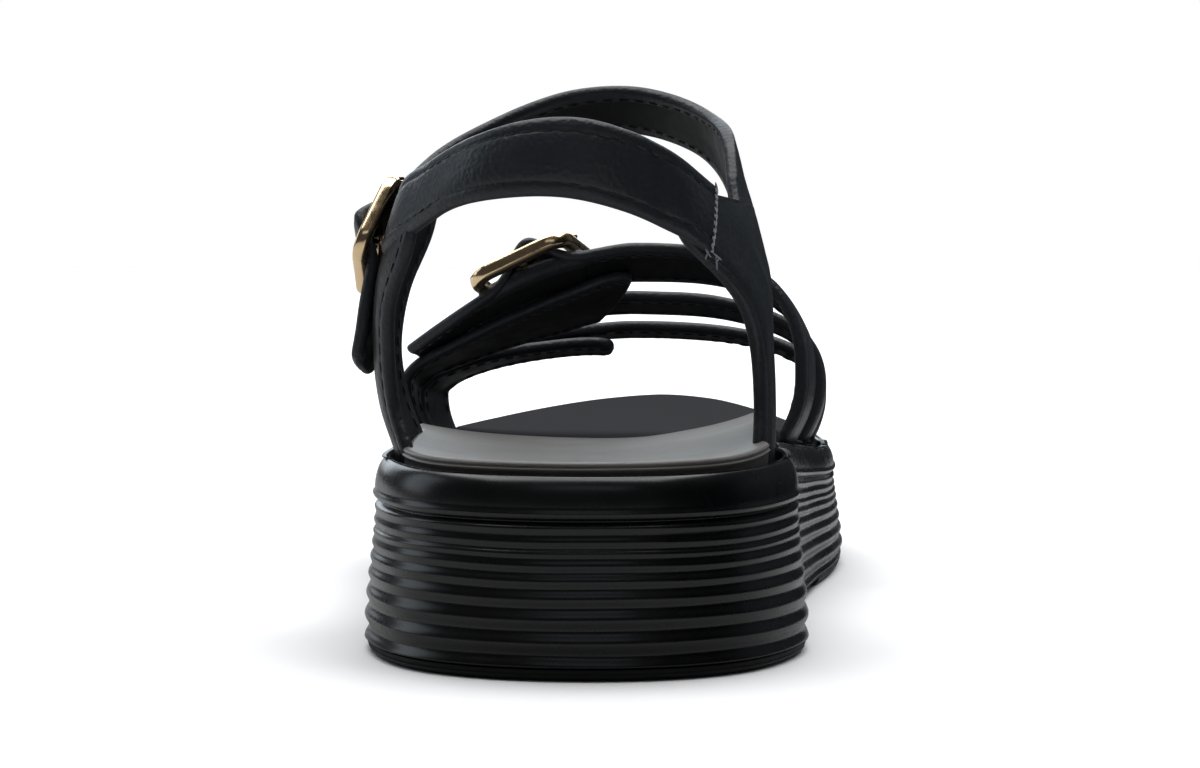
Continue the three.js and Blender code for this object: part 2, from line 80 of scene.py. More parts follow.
def smooth(low, high, value):
    t = min(1, max(0, (value - low) / (high - low)))
    return t * t * (3 - 2 * t)


def bump(value, centre, reach):
    return math.exp(-((value - centre) / reach) ** 2)


def mix(a, b, t):
    return a + (b - a) * t


# materials
def shaderOf(name, settings):
    material = bpy.data.materials.new(name)
    material.use_nodes = True
    shader = material.node_tree.nodes["Principled BSDF"]
    for socket, value in settings.items():
        shader.inputs[socket].default_value = value
    return material, shader


def addNode(material, kind, **values):
    node = material.node_tree.nodes.new(kind)
    for key, value in values.items():
        if key in node.inputs:
            node.inputs[key].default_value = value
        else:
            setattr(node, key, value)
    return node


def objectCoordinates(material):
    return addNode(material, "ShaderNodeTexCoord").outputs["Object"]


def noiseOf(material, scale, detail=3.0, roughness=0.55):
    node = addNode(material, "ShaderNodeTexNoise", Scale=scale, Detail=detail, Roughness=roughness)
    material.node_tree.links.new(objectCoordinates(material), node.inputs["Vector"])
    return node.outputs["Fac"]


def rangeOf(material, value, low, high, fromLow=0.3, fromHigh=0.7):
    node = addNode(material, "ShaderNodeMapRange")
    material.node_tree.links.new(value, node.inputs["Value"])
    for socket, number in zip(("From Min", "From Max", "To Min", "To Max"), (fromLow, fromHigh, low, high)):
        node.inputs[socket].default_value = number
    return node.outputs["Result"]


def blendColours(material, factor, first, second):
    node = addNode(material, "ShaderNodeMix", data_type="RGBA")
    material.node_tree.links.new(factor, node.inputs[0])
    node.inputs[6].default_value = (*first, 1)
    node.inputs[7].default_value = (*second, 1)
    return node.outputs[2]


def bumpOf(material, height, strength, distance, below=None):
    node = addNode(material, "ShaderNodeBump", Strength=strength, Distance=distance)
    material.node_tree.links.new(height, node.inputs["Height"])
    if below is not None:
        material.node_tree.links.new(below, node.inputs["Normal"])
    return node.outputs["Normal"]


def stationOf(material, first, last):  # 0 to 1 from one place along Y to another
    split = addNode(material, "ShaderNodeSeparateXYZ")
    material.node_tree.links.new(objectCoordinates(material), split.inputs[0])
    return rangeOf(material, split.outputs["Y"], 0, 1, first, last)


def leatherMaterial(name, look):
    material, shader = shaderOf(name, look["shader"])
    link = material.node_tree.links.new
    patches = noiseOf(material, look["patchScale"])
    colour = blendColours(material, patches, look["dark"], look["pale"])
    if "paintedShade" in look:  # painted shade: the forefoot, shaded by the straps, is painted darker than the heel seat, and its coat fades out there, so it is also duller
        mixed = addNode(material, "ShaderNodeMix", data_type="RGBA")
        station = stationOf(material, *look["paintedShadeFrom"])
        link(station, mixed.inputs[0])
        link(colour, mixed.inputs[6])
        mixed.inputs[7].default_value = (*look["paintedShade"], 1)
        colour = mixed.outputs[2]
        link(rangeOf(material, station, *look["shadeShine"], 0, 1), shader.inputs["Coat Weight"])
    link(colour, shader.inputs["Base Color"])
    polish = noiseOf(material, look["polishScale"])
    link(rangeOf(material, polish, *look["roughness"]), shader.inputs["Roughness"])
    grain = addNode(material, "ShaderNodeTexVoronoi", feature="SMOOTH_F1", Scale=look["grainScale"])
    link(objectCoordinates(material), grain.inputs["Vector"])
    pores = bumpOf(material, grain.outputs["Distance"], look["grainStrength"], look["grainDepth"])
    waves = noiseOf(material, look["foldScale"], 4.0)
    folds = bumpOf(material, waves, look["foldStrength"], look["foldDepth"], pores)
    link(folds, shader.inputs["Normal"])
    if "paintedShade" in look:
        link(folds, shader.inputs["Coat Normal"])
    return material


strapLook = {
    "shader": {"Specular IOR Level": 0.42, "Coat Weight": 0.08, "Coat Roughness": 0.3},
    "patchScale": 45,
    "dark": (0.0130, 0.0156, 0.0195),
    "pale": (0.0270, 0.0320, 0.0390),
    "polishScale": 160,
    "roughness": (0.36, 0.50),
    "grainScale": 1250,
    "grainStrength": 0.7,
    "grainDepth": 0.00018,
    "foldScale": 420,
    "foldStrength": 0.25,
    "foldDepth": 0.0003,
}
liningLook = {
    "shader": {"Specular IOR Level": 0.36},
    "patchScale": 60,
    "dark": (0.004, 0.0045, 0.0055),
    "pale": (0.009, 0.010, 0.012),
    "polishScale": 220,
    "roughness": (0.45, 0.60),
    "grainScale": 2200,
    "grainStrength": 0.2,
    "grainDepth": 0.00008,
    "foldScale": 500,
    "foldStrength": 0.15,
    "foldDepth": 0.0002,
}
footbedLook = {
    "shader": {"Specular IOR Level": 0.0, "Coat Roughness": 0.4, "Coat IOR": 1.5},
    "patchScale": 40,
    # partly painted sheen: the heel seat's pale grey is partly the pad's own tone and partly raised to stand
    # in for its glossy sheen
    "dark": (0.095, 0.090, 0.085),
    "pale": (0.245, 0.234, 0.223),
    # painted shade: the forefoot's darker colour stands in for the shade the straps cast on it
    "paintedShade": (0.052, 0.052, 0.056),
    "paintedShadeFrom": (0.02, 0.085),
    "shadeShine": (0.9, 0.0),
    "polishScale": 900,
    "roughness": (0.34, 0.46),
    "grainScale": 1300,
    "grainStrength": 0.3,
    "grainDepth": 0.0001,
    "foldScale": 260,
    "foldStrength": 0.15,
    "foldDepth": 0.0003,
}


def foamMaterial(name, look):
    material, shader = shaderOf(name, look["shader"])
    link = material.node_tree.links.new
    patches = noiseOf(material, 35)
    link(blendColours(material, patches, look["dark"], look["pale"]), shader.inputs["Base Color"])
    link(rangeOf(material, noiseOf(material, 120), *look["roughness"]), shader.inputs["Roughness"])
    pores = noiseOf(material, look["skinScale"], 5.0)
    skin = bumpOf(material, pores, look["skinStrength"], look["skinDepth"])
    link(bumpOf(material, noiseOf(material, 60, 1.0), 0.1, 0.0004, skin), shader.inputs["Normal"])
    return material


foamLook = {
    "shader": {"Specular IOR Level": 0.65},
    "dark": (0.0010, 0.0014, 0.0020),
    "pale": (0.0020, 0.0026, 0.0034),
    "roughness": (0.24, 0.31),
    "skinScale": 2400,
    "skinStrength": 0.06,
    "skinDepth": 0.00003,
}
rubberLook = {
    "shader": {"Specular IOR Level": 0.35},
    "dark": (0.004, 0.0045, 0.005),
    "pale": (0.008, 0.009, 0.010),
    "roughness": (0.45, 0.58),
    "skinScale": 1500,
    "skinStrength": 0.3,
    "skinDepth": 0.0001,
}


def goldMaterial(name, look):
    material, shader = shaderOf(name, {"Metallic": 1.0})
    link = material.node_tree.links.new
    patches = noiseOf(material, 90)
    link(blendColours(material, patches, look["deep"], look["pale"]), shader.inputs["Base Color"])
    link(rangeOf(material, noiseOf(material, 700, 4.0), *look["roughness"]), shader.inputs["Roughness"])
    link(bumpOf(material, noiseOf(material, 300, 2.0), 0.08, 0.0002), shader.inputs["Normal"])
    return material


goldLook = {"deep": (0.78, 0.57, 0.33), "pale": (0.95, 0.77, 0.53), "roughness": (0.13, 0.24)}


def threadMaterial(name, look):
    material, shader = shaderOf(name, {"Roughness": 0.7, "Sheen Weight": 0.2})
    link = material.node_tree.links.new
    strands = noiseOf(material, 4500, 2.0)
    link(blendColours(material, strands, look["dark"], look["pale"]), shader.inputs["Base Color"])
    link(bumpOf(material, strands, 0.4, 0.0001), shader.inputs["Normal"])
    return material


strapLeather = leatherMaterial("strapLeather", strapLook)
liningLeather = leatherMaterial("liningLeather", liningLook)
footbedLeather = leatherMaterial("footbedLeather", footbedLook)
platformFoam = foamMaterial("platformFoam", foamLook)
outsoleRubber = foamMaterial("outsoleRubber", rubberLook)
buckleGold = goldMaterial("buckleGold", goldLook)
blackThread = threadMaterial("blackThread", {"dark": (0.003, 0.003, 0.004), "pale": (0.012, 0.013, 0.015)})
greyThread = threadMaterial("greyThread", {"dark": (0.10, 0.105, 0.12), "pale": (0.30, 0.31, 0.34)})
print("materials ready")


# helpers for the meshes
def gridBlank(along, around):
    bm = bmesh.new()
    bm.loops.layers.uv.new("UVMap")
    bmesh.ops.create_grid(bm, x_segments=along, y_segments=around, size=0.5, calc_uvs=True)
    return bm


def bend(bm, place):  # every point of the flat blank goes to its place
    for v in bm.verts:
        v.co = place(v.co.x + 0.5, v.co.y + 0.5)


def meshObject(name, bm):
    mesh = bpy.data.meshes.new(name)
    bm.to_mesh(mesh)
    bm.free()
    made = bpy.data.objects.new(name, mesh)
    bpy.context.scene.collection.objects.link(made)
    return made


def addPiece(name, bm, materials, replaces=(), flip=False):
    if flip:
        bmesh.ops.recalc_face_normals(bm, faces=bm.faces)
    for face in bm.faces:
        face.smooth = True
    piece = meshObject(name, bm)
    for material in materials:
        piece.data.materials.append(material)
    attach(piece, "root")
    if replaces:
        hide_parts(*replaces)
    pieces[name] = piece
    return piece


def closeWithRungs(bm, ring):  # a closed ring is filled, then cut by rungs from one side to the other
    boundary = [e for e in bm.edges if e.is_boundary and all(v in ring for v in e.verts)]
    bmesh.ops.holes_fill(bm, edges=boundary, sides=0)
    count = len(ring)
    rungs = []
    for i in range(1, count // 2):
        made = bmesh.ops.connect_verts(bm, verts=[ring[i], ring[count - i]])
        rungs += made["edges"]
    return rungs


# sole: one outline for platform, outsole and footbed
outlineRows = table(
    "along lateral medial",
    (0.012, 0.172, 0.172),
    (0.049, 0.310, 0.306),
    (0.130, 0.404, 0.395),
    (0.244, 0.421, 0.388),
    (0.366, 0.446, 0.377),
    (0.488, 0.490, 0.408),
    (0.589, 0.526, 0.447),
    (0.671, 0.537, 0.461),
    (0.752, 0.508, 0.447),
    (0.833, 0.430, 0.399),
    (0.915, 0.302, 0.306),
    (0.976, 0.135, 0.180),
)
rimRows = table(
    "y z", (0, 32.4), (55, 32.2), (90, 30.4), (125, 26.8), (155, 24.2), (185, 23.8), (215, 24.9), (246, 27.4))


def halfWidth(y, side):
    return sole["ballWidth"] * readTable(outlineRows, "along", y / sole["length"], side)


def rimZ(y):
    return readTable(rimRows, "y", y, "z")


def floorZ(y):
    rise = max(0, (y - sole["springStart"]) / (sole["length"] - sole["springStart"]))
    return sole["toeSpring"] * rise**2


def outlinePoints(count):  # closed curve through the table's widths, run anticlockwise from the heel back
    width, length = sole["ballWidth"], sole["length"]
    inner = [Vector((r["medial"] * width, r["along"] * length)) for r in outlineRows]
    outer = [Vector((-r["lateral"] * width, r["along"] * length)) for r in reversed(outlineRows)]
    knots = [Vector((0, 0)), *inner, Vector((sole["toeCentre"] * width, length)), *outer]
    fine, steps = [], 60
    for i in range(len(knots)):
        p = [knots[(i + k - 1) % len(knots)] for k in range(4)]
        d = [math.sqrt((p[k + 1] - p[k]).length) for k in range(3)]
        a = ((p[1] - p[0]) / d[0] - (p[2] - p[0]) / (d[0] + d[1]) + (p[2] - p[1]) / d[1]) * d[1]
        b = ((p[2] - p[1]) / d[1] - (p[3] - p[1]) / (d[1] + d[2]) + (p[3] - p[2]) / d[2]) * d[1]
        square, cube = 3 * (p[2] - p[1]) - 2 * a - b, 2 * (p[1] - p[2]) + a + b
        for k in range(steps):
            t = k / steps
            fine.append(p[1] + a * t + square * t**2 + cube * t**3)
    lengths = [0]
    for i in range(len(fine)):
        lengths.append(lengths[-1] + (fine[(i + 1) % len(fine)] - fine[i]).length)
    points, k = [], 0
    for i in range(count):
        target = lengths[-1] * i / count
        while lengths[k + 1] < target:
            k += 1
        t = (target - lengths[k]) / (lengths[k + 1] - lengths[k])
        points.append(fine[k].lerp(fine[(k + 1) % len(fine)], t))
    return points


ringCount = 320
edgePoints = outlinePoints(ringCount)
edgeNormals = []
for i in range(ringCount):
    step = (edgePoints[(i + 1) % ringCount] - edgePoints[i - 1]).normalized()
    edgeNormals.append(Vector((step.y, -step.x)))


def soleRing(i, offset):
    return edgePoints[i % ringCount] + edgeNormals[i % ringCount] * offset


# feet of the straps: side, first and last station; the rim and the footbed make room for them
strapFeet = [
    (1, 36.5, 57),
    (-1, 33, 61.5),
    (-1, 144, 165.5),
    (-1, 167, 188.5),
    (1, 116, 132.5),
    (1, 145, 158.5),
    (1, 164, 176.5),
]


def footRoom(x, y):
    room = 0
    for side, first, last in strapFeet:
        if x * side > 0:
            room = max(room, smooth(first - 2.2, first - 0.4, y) * (1 - smooth(last + 0.4, last + 2.2, y)))
    return room


# grooves of the platform wall, top to bottom: share of the height, and depth
ribRows = table(
    "level depth",
    (0.781, 1.00),
    (0.712, 0.26),
    (0.646, 0.38),
    (0.600, 0.26),
    (0.531, 0.42),
    (0.451, 0.44),
    (0.358, 0.54),
    (0.247, 0.66),
    (0.128, 0.80),
)
platformSettings = {
    "rimWidth": 3,
    "deckDrop": 3,
    "rimRound": 2.6,        # of the rim's outer shoulder, inward
    "rimFall": 0.172,       # and down, a share of the height
    "lipRound": 0.9,
    "flare": 1.9,           # foot of the wall outside its rim
    "bulge": 0.35,          # of the smooth band under the rim
    "sharpReach": 0.012,    # half width of the first groove, a share of the height
    "ribRound": 0.85,       # 0 for creases between the ribs, 1 for waves
    "wobble": 0.007,        # the moulded ribs run a little unevenly
    "skirt": 2.3,           # the wall's lower edge, that hangs over the outsole
}


def wallOut(level, wobble=0):
    s = platformSettings
    level += wobble
    grooves = [r["level"] for r in ribRows]
    out = s["flare"] * smooth(0.80, 0.12, level) * 0.95
    if level >= grooves[0]:
        out += s["bulge"] * bump(level, 0.82, 0.06)
        return out - ribRows[0]["depth"] * math.exp(-(level - grooves[0]) / s["sharpReach"])
    for above, below in zip(ribRows, ribRows[1:] + [{"level": 0.0, "depth": 0.2}]):
        if level >= below["level"]:
            share = (above["level"] - level) / (above["level"] - below["level"])
            groove = mix(above["depth"], below["depth"], smooth(0, 1, share))
            valley = 0.5 + 0.5 * math.cos(2 * math.pi * share)
            return out - groove * mix(1 - math.sin(math.pi * share), valley, s["ribRound"])
    return out


def platformProfile(x, y, room):  # (offset, height) from the deck up over the rim and down the wall
    s = platformSettings
    base, top = floorZ(y), rimZ(y)
    low, fall = base + sole["outsoleHeight"] + sole["gap"], s["rimFall"] * (top - base)
    inner = -s["rimWidth"] + 0.9 * room
    points = [(inner - 3, top - s["deckDrop"]), (inner, top - s["deckDrop"])]
    for k in range(5):
        turn = math.pi / 2 * k / 4
        across, down = s["lipRound"] * (1 - math.cos(turn)), s["lipRound"] * (1 - math.sin(turn))
        points.append((inner + across, top - down))
    for k in range(13):
        turn = math.pi / 2 * k / 12
        points.append((-s["rimRound"] * (1 - math.sin(turn)), top - fall * (1 - math.cos(turn))))
    start, end = 1 - s["rimFall"], s["skirt"] / (top - base)
    for k in range(1, 111):
        level = mix(start, end, k / 110)
        uneven = s["wobble"] * noise.noise(Vector((x, y, level * 60)) * 0.045) * smooth(0.8, 0.72, level)
        points.append((wallOut(level, uneven), mix(base, top, level)))
    points += [(1.2, base + s["skirt"] - 0.1), (0.8, base + s["skirt"] + 0.15), (0.8, low)]
    return points


profileCount = len(platformProfile(0, 0, 0))
platformMesh = gridBlank(ringCount, profileCount - 1)
profileAt = [platformProfile(p.x, p.y, footRoom(p.x, p.y)) for p in edgePoints]


def platformPoint(s, t):
    i = round(s * ringCount) % ringCount
    offset, z = profileAt[i][round(t * (profileCount - 1))]
    p = soleRing(i, offset)
    return metres(p.x, p.y, z)


bend(platformMesh, platformPoint)
bmesh.ops.remove_doubles(platformMesh, verts=platformMesh.verts, dist=1e-6)


def endRing(bm, offset, heightOf):  # the blank's own rim, in the order of the outline
    found = []
    rim = [v for v in bm.verts if v.is_boundary]
    for i in range(ringCount):
        p = soleRing(i, offset(i))
        target = metres(p.x, p.y, heightOf(i))
        found.append(min(rim, key=lambda v: (v.co - target).length_squared))
    return found


deckRing = endRing(platformMesh, lambda i: profileAt[i][0][0], lambda i: profileAt[i][0][1])
bottomRing = endRing(platformMesh, lambda i: profileAt[i][-1][0], lambda i: profileAt[i][-1][1])
closeWithRungs(platformMesh, deckRing)
closeWithRungs(platformMesh, bottomRing)
addPiece("platform_foam", platformMesh, [platformFoam], ["platform"], flip=True)
print("platform made")

outsoleSettings = {
    "railWidth": 6,
    "lugHeight": 1.4,
    "grooveStart": 19.5,
    "grooveEnd": 236,
    "groovePitch": 11,
    "grooveWidth": 3,
    "waist": (88, 126),
    "archLift": 1.6,
    "profile": [(0.5, 3.6), (0.6, 3.3), (0.6, 2.6), (0.75, 2.1), (1.2, 1.9), (1.3, 1.5), (1.1, 0.8),
                (0.5, 0.25), (-0.5, 0.0)],     # offset and height, top to bottom
}
outsoleMesh = gridBlank(ringCount, len(outsoleSettings["profile"]) - 1)


def outsolePoint(s, t):
    i = round(s * ringCount) % ringCount
    offset, z = outsoleSettings["profile"][round(t * (len(outsoleSettings["profile"]) - 1))]
    p = soleRing(i, offset)
    return metres(p.x, p.y, floorZ(p.y) + z)


bend(outsoleMesh, outsolePoint)
bmesh.ops.remove_doubles(outsoleMesh, verts=outsoleMesh.verts, dist=1e-6)
for offset, z in (outsoleSettings["profile"][0], outsoleSettings["profile"][-1]):
    ring = endRing(outsoleMesh, lambda i: offset, lambda i: floorZ(soleRing(i, offset).y) + z)
    closeWithRungs(outsoleMesh, ring)
outsolePiece = addPiece(
    "outsole_rubber", outsoleMesh, [outsoleRubber], ["outsole"], flip=True)


def innerEdge(y, inset):  # where the inset outline crosses a station
    hits = []
    for i in range(ringCount):
        a, b = soleRing(i, -inset), soleRing(i + 1, -inset)
        if (a.y - y) * (b.y - y) < 0:
            hits.append(mix(a.x, b.x, (y - a.y) / (b.y - a.y)))
    return min(hits), max(hits)


def treadCutter(name):
    s = outsoleSettings
    bm = bmesh.new()
    y = s["grooveStart"]
    while y < s["grooveEnd"]:
        if not s["waist"][0] <= y <= s["waist"][1]:
            box = bmesh.ops.create_cube(bm, size=1)["verts"]
            for v in box:
                at = y + v.co.y * s["grooveWidth"]
                low, high = innerEdge(at, s["railWidth"])
                x = low if v.co.x < 0 else high
                v.co = metres(x, at, floorZ(at) + (s["lugHeight"] if v.co.z > 0 else -3))
        y += s["groovePitch"]
    first, last = s["waist"]
    hollow = bmesh.ops.create_cube(bm, size=1)["verts"]
    for v in hollow:
        z = s["archLift"] if v.co.z > 0 else -2 * s["archLift"]
        v.co = metres(v.co.x * 2 * sole["ballWidth"], mix(first, last, v.co.y + 0.5), z)
    return meshObject(name, bm)


def cutWith(piece, cutter):
    cut = piece.modifiers.new("tread", "BOOLEAN")
    cut.operation, cut.solver, cut.object = "DIFFERENCE", "EXACT", cutter
    graph = bpy.context.evaluated_depsgraph_get()
    done = bpy.data.meshes.new_from_object(piece.evaluated_get(graph))
    piece.modifiers.clear()
    piece.data = done
    bpy.data.objects.remove(cutter)


cutWith(outsolePiece, treadCutter("tread"))
for face in outsolePiece.data.polygons:
    face.use_smooth = abs(face.normal.z) < 0.9
outsolePiece.data.set_sharp_from_angle(angle=math.radians(40))
print("outsole made")

# footbed: a soft pad in the platform's recess
footbedRows = table(
    "y edge seat",
    (0, 2.0, -0.4),
    (30, 1.8, -0.9),
    (60, 2.8, 0.0),
    (85, 3.2, 1.0),
    (120, 1.8, 0.6),
    (160, 1.2, 0.2),
    (246, 1.2, 0.6),
)
footbedSettings = {
    "inset": 4.4,
    "deckDrop": 3,
    "archRise": 3.2,
    "archCentre": 72,
    "archReach": 34,
    "cupReach": 31,         # the rolled edge rises over this distance
    "edge": [(-0.9, -3.9), (-0.25, -3.2), (-0.2, -2.0), (-0.1, -1.55), (0.12, -1.35), (0.15, -1.15),
             (-0.05, -0.98), (-0.45, -0.88), (-0.15, -0.75), (0.0, -0.55), (-0.05, -0.32), (-0.3, -0.12),
             (-0.8, 0.0)],      # offset and height, up round the edge
    "rings": 34,
    "centreShare": 0.12,
}
# soft troughs and ridges pressed into the pad: station, place across, reach along and across, height
footbedMarks = [
    (22, 0.0, 20, 0.62, -0.5),
    (82, 0.10, 16, 0.40, -0.7),
    (70, 0.45, 22, 0.30, 0.35),
    (150, 0.35, 26, 0.35, -0.45),
    (152, -0.40, 24, 0.35, -0.35),
    (205, 0.40, 12, 0.30, -0.35),
]


edgeSpan = [innerEdge(min(max(y, 6), 240.5), footbedSettings["inset"]) for y in range(0, 247)]


def acrossAt(x, y):
    i = min(245, max(0, math.floor(y)))
    low, high = (mix(a, b, min(1, max(0, y - i))) for a, b in zip(edgeSpan[i], edgeSpan[i + 1]))
    return max(-1, min(1, 2 * (x - low) / (high - low) - 1))


def footbedZ(x, y, fromEdge):  # the pad curls up toward its edge and dips under the heel
    s = footbedSettings
    across, roll = acrossAt(x, y), max(0, 1 - fromEdge / s["cupReach"])
    edge, seat = readTable(footbedRows, "y", y, "edge"), readTable(footbedRows, "y", y, "seat")
    arch = s["archRise"] * max(0, across) ** 2 * bump(y, s["archCentre"], s["archReach"])
    marks = 0
    for at, side, along, wide, height in footbedMarks:
        marks += height * bump(y, at, along) * bump(across, side, wide)
    return rimZ(y) + seat + (edge - seat) * roll**3 + arch + marks * (1 - roll**6)


def centreOf(p):
    y = min(max(p.y, 40), 205)
    low, high = edgeSpan[round(y)]
    return Vector(((low + high) / 2, y))


footbedCount = len(footbedSettings["edge"]) + footbedSettings["rings"]
footbedMesh = gridBlank(ringCount, footbedCount - 1)


def footbedPoint(s, t):
    f = footbedSettings
    i, k = round(s * ringCount) % ringCount, round(t * (footbedCount - 1))
    rim = edgePoints[i]
    inset = f["inset"] + 1.3 * footRoom(rim.x, rim.y)
    if k < len(f["edge"]):
        out, rise = f["edge"][k]
        p = soleRing(i, -inset + out)
        q = soleRing(i, -inset - 0.8)
        deck = rimZ(p.y) - f["deckDrop"] + sole["gap"]
        top = footbedZ(q.x, q.y, 0)
        return metres(p.x, p.y, max(deck, top + rise) if rise > -3.8 else deck)
    q = soleRing(i, -inset - 0.8)
    share = (k - len(f["edge"]) + 1) / f["rings"] * (1 - f["centreShare"])
    share = share ** 1.3
    p = q.lerp(centreOf(q), share)
    return metres(p.x, p.y, footbedZ(p.x, p.y, (p - q).length))


bend(footbedMesh, footbedPoint)
bmesh.ops.remove_doubles(footbedMesh, verts=footbedMesh.verts, dist=1e-6)
rimVerts = [v for v in footbedMesh.verts if v.is_boundary]


def ringFrom(k):
    found = []
    for i in range(ringCount):
        target = footbedPoint(i / ringCount, k / (footbedCount - 1))
        found.append(min(rimVerts, key=lambda v: (v.co - target).length_squared))
    return found


closeWithRungs(footbedMesh, ringFrom(0))
rungs = closeWithRungs(footbedMesh, ringFrom(footbedCount - 1))
middle = bmesh.ops.subdivide_edges(footbedMesh, edges=rungs, cuts=5, use_grid_fill=True)
for v in [g for g in middle["geom_inner"] if isinstance(g, bmesh.types.BMVert)]:
    x, y = v.co.x * 1000, v.co.y * 1000 + sole["heelSeat"]
    v.co.z = footbedZ(x, y, footbedSettings["cupReach"]) / 1000
footbedPiece = addPiece(
    "footbed_pad", footbedMesh, [footbedLeather], ["footbed"], flip=True)
print("footbed made")

# the foot inside the straps, as two surfaces
ankleRows = table(
    "z middle half back front",
    (26, -1.0, 28.7, 13, 77),
    (33, -1.2, 29.7, 14, 76),
    (41, -2.8, 31.4, 19, 74),
    (50, -3.7, 32.0, 20, 73),
    (60, -3.5, 31.2, 16, 76),
    (70, -2.9, 28.6, 11, 82),
    (78, -2.8, 26.2, 9, 87),
    (87, -1.4, 22.8, 10, 81),
    (96, 1.0, 18.6, 13, 72),
)
instepRows = table(
    "y top ridge hip swell",
    (100, 74.0, 0.0, 42, 2.6),
    (125, 64.0, 1.5, 39, 2.6),
    (140, 57.4, 1.5, 38, 2.2),
    (150, 53.2, 1.0, 37, 1.8),
    (162, 49.4, 0.0, 35, 1.5),
    (175, 45.6, -1.0, 33, 1.2),
    (190, 42.6, -1.0, 32, 1.0),
)
footSettings = {"strapInset": 5.2, "lateralSquare": 1.6, "medialSquare": 2.5, "underRadius": 24}


def ankle(angle, z):  # degrees from the heel back, positive round the inner side
    t = math.radians(angle)
    back, front = readTable(ankleRows, "z", z, "back"), readTable(ankleRows, "z", z, "front")
    x = readTable(ankleRows, "z", z, "middle") + readTable(ankleRows, "z", z, "half") * math.sin(t)
    return Vector((x, (back + front) / 2 - (front - back) / 2 * math.cos(t), z))


def instep(angle, y):  # degrees from the outer side over the top to the inner side
    s = footSettings
    t = math.radians(angle)
    medial = math.cos(t) < 0
    hip, ridge = readTable(instepRows, "y", y, "hip"), readTable(instepRows, "y", y, "ridge")
    wide = halfWidth(y, "medial" if medial else "lateral") - s["strapInset"]
    wide += readTable(instepRows, "y", y, "swell")
    reach = wide - ridge if medial else wide + ridge
    out = 1 if medial else -1
    if math.sin(t) < 0:
        return Vector((ridge + out * reach * abs(math.cos(t)), y, hip + s["underRadius"] * math.sin(t)))
    square = 2 / (s["medialSquare"] if medial else s["lateralSquare"])
    rise = readTable(instepRows, "y", y, "top") - hip
    return Vector((ridge + out * reach * abs(math.cos(t)) ** square, y, hip + rise * math.sin(t) ** square))


def normalOf(surface, u, v):
    du = surface(u + 0.5, v) - surface(u - 0.5, v)
    dv = surface(u, v + 0.25) - surface(u, v - 0.25)
    return du.cross(dv).normalized()


def strapRows(*rows):
    filled = [(*r, 0) if len(r) == 4 else r for r in rows]
    return [dict(zip("iabcd", (i, *r)), lift=r[4]) for i, r in enumerate(filled)]


def rowAt(rows, at):
    return {name: readTable(rows, "i", at, name) for name in ("a", "b", "c", "d", "lift")}


def placeOn(surface, row, share, height):
    u, v = mix(row["a"], row["c"], share), mix(row["b"], row["d"], share)
    return surface(u, v) + normalOf(surface, u, v) * (row["lift"] + height)


def strapPoint(surface, rows, at, share, height):
    return placeOn(surface, rowAt(rows, at), share, height)


# straps: folded leather over a lining
strapSettings = {
    "thickness": 2.2,
    "edge": 1.05,           # roundness of the folded edges
    "seam": 2.3,            # stitch line from the edge
    "seamDip": 0.22,
    "crown": 0.25,
    "liningStep": 0.14,
    "corner": 2.0,          # of a free end, seen from outside
    "uneven": 0.16,
    "stepsPerRow": 12,
    "startRound": False,
    "endRound": True,
}


def section(width, s):  # (distance from the first edge, height), round the strap from the lining's middle
    r, seam, thick = s["edge"], min(s["seam"], width * 0.28), s["thickness"]
    stops = [r, seam - 0.6, seam - 0.3, seam, seam + 0.3, seam + 0.6]
    stops += [mix(seam + 0.6, width / 2, k / 5) for k in range(1, 6)]
    face = stops + [width - e for e in reversed(stops[:-1])]

    def outer(e):
        near = min(e, width - e)
        return thick - s["seamDip"] * bump(near, seam, 0.32) + s["crown"] * (1 - (2 * e / width - 1) ** 2)

    def inner(e):
        near = min(e, width - e)
        step = s["liningStep"] * smooth(seam + 0.3, seam + 0.7, near)
        return step + s["seamDip"] * 0.6 * bump(near, seam, 0.32)

    turns = [math.pi * k / 8 for k in range(1, 8)]
    middle = len(face) // 2
    points = [(e, inner(e)) for e in reversed(face[:middle + 1])]
    points += [(r - r * math.sin(a), thick / 2 - thick / 2 * math.cos(a)) for a in turns]
    points += [(e, outer(e)) for e in face]
    points += [(width - r + r * math.sin(a), thick / 2 + thick / 2 * math.cos(a)) for a in turns]
    points += [(e, inner(e)) for e in reversed(face[middle:])]
    return points


def strapStations(surface, rows, s):  # (row, plan inset, thinning) of every section; ends are rounded
    first, last = s.get("start", 0), s.get("end", len(rows) - 1)
    count = max(8, round((last - first) * s["stepsPerRow"]))
    rounding = [0.12, 0.3, 0.55, 0.9, 1.3, 1.8, 2.4]
    stations = [(mix(first, last, i / count), 0, 1) for i in range(count + 1)]

    def speed(at, step):
        here, ahead = (strapPoint(surface, rows, row, 0.5, 0) for row in (at, at + step))
        return (ahead - here).length / abs(step)

    def rounded(at, distance, direction, perRow):
        corner, thin = s["corner"], s["thickness"] / 2
        inset = corner - math.sqrt(max(0, corner**2 - max(0, corner - distance) ** 2))
        thinning = math.sqrt(max(0.02, 1 - max(0, 1 - distance / thin) ** 2))
        return (at + direction * distance / perRow, inset, thinning)

    if s["endRound"]:
        perRow = speed(last, -0.1)
        stations = [x for x in stations if (last - x[0]) * perRow > 2.9]
        stations += [rounded(last, d, -1, perRow) for d in reversed(rounding)]
    if s["startRound"]:
        perRow = speed(first, 0.1)
        stations = [x for x in stations if (x[0] - first) * perRow > 2.9]
        stations = [rounded(first, d, 1, perRow) for d in rounding] + stations
    return stations


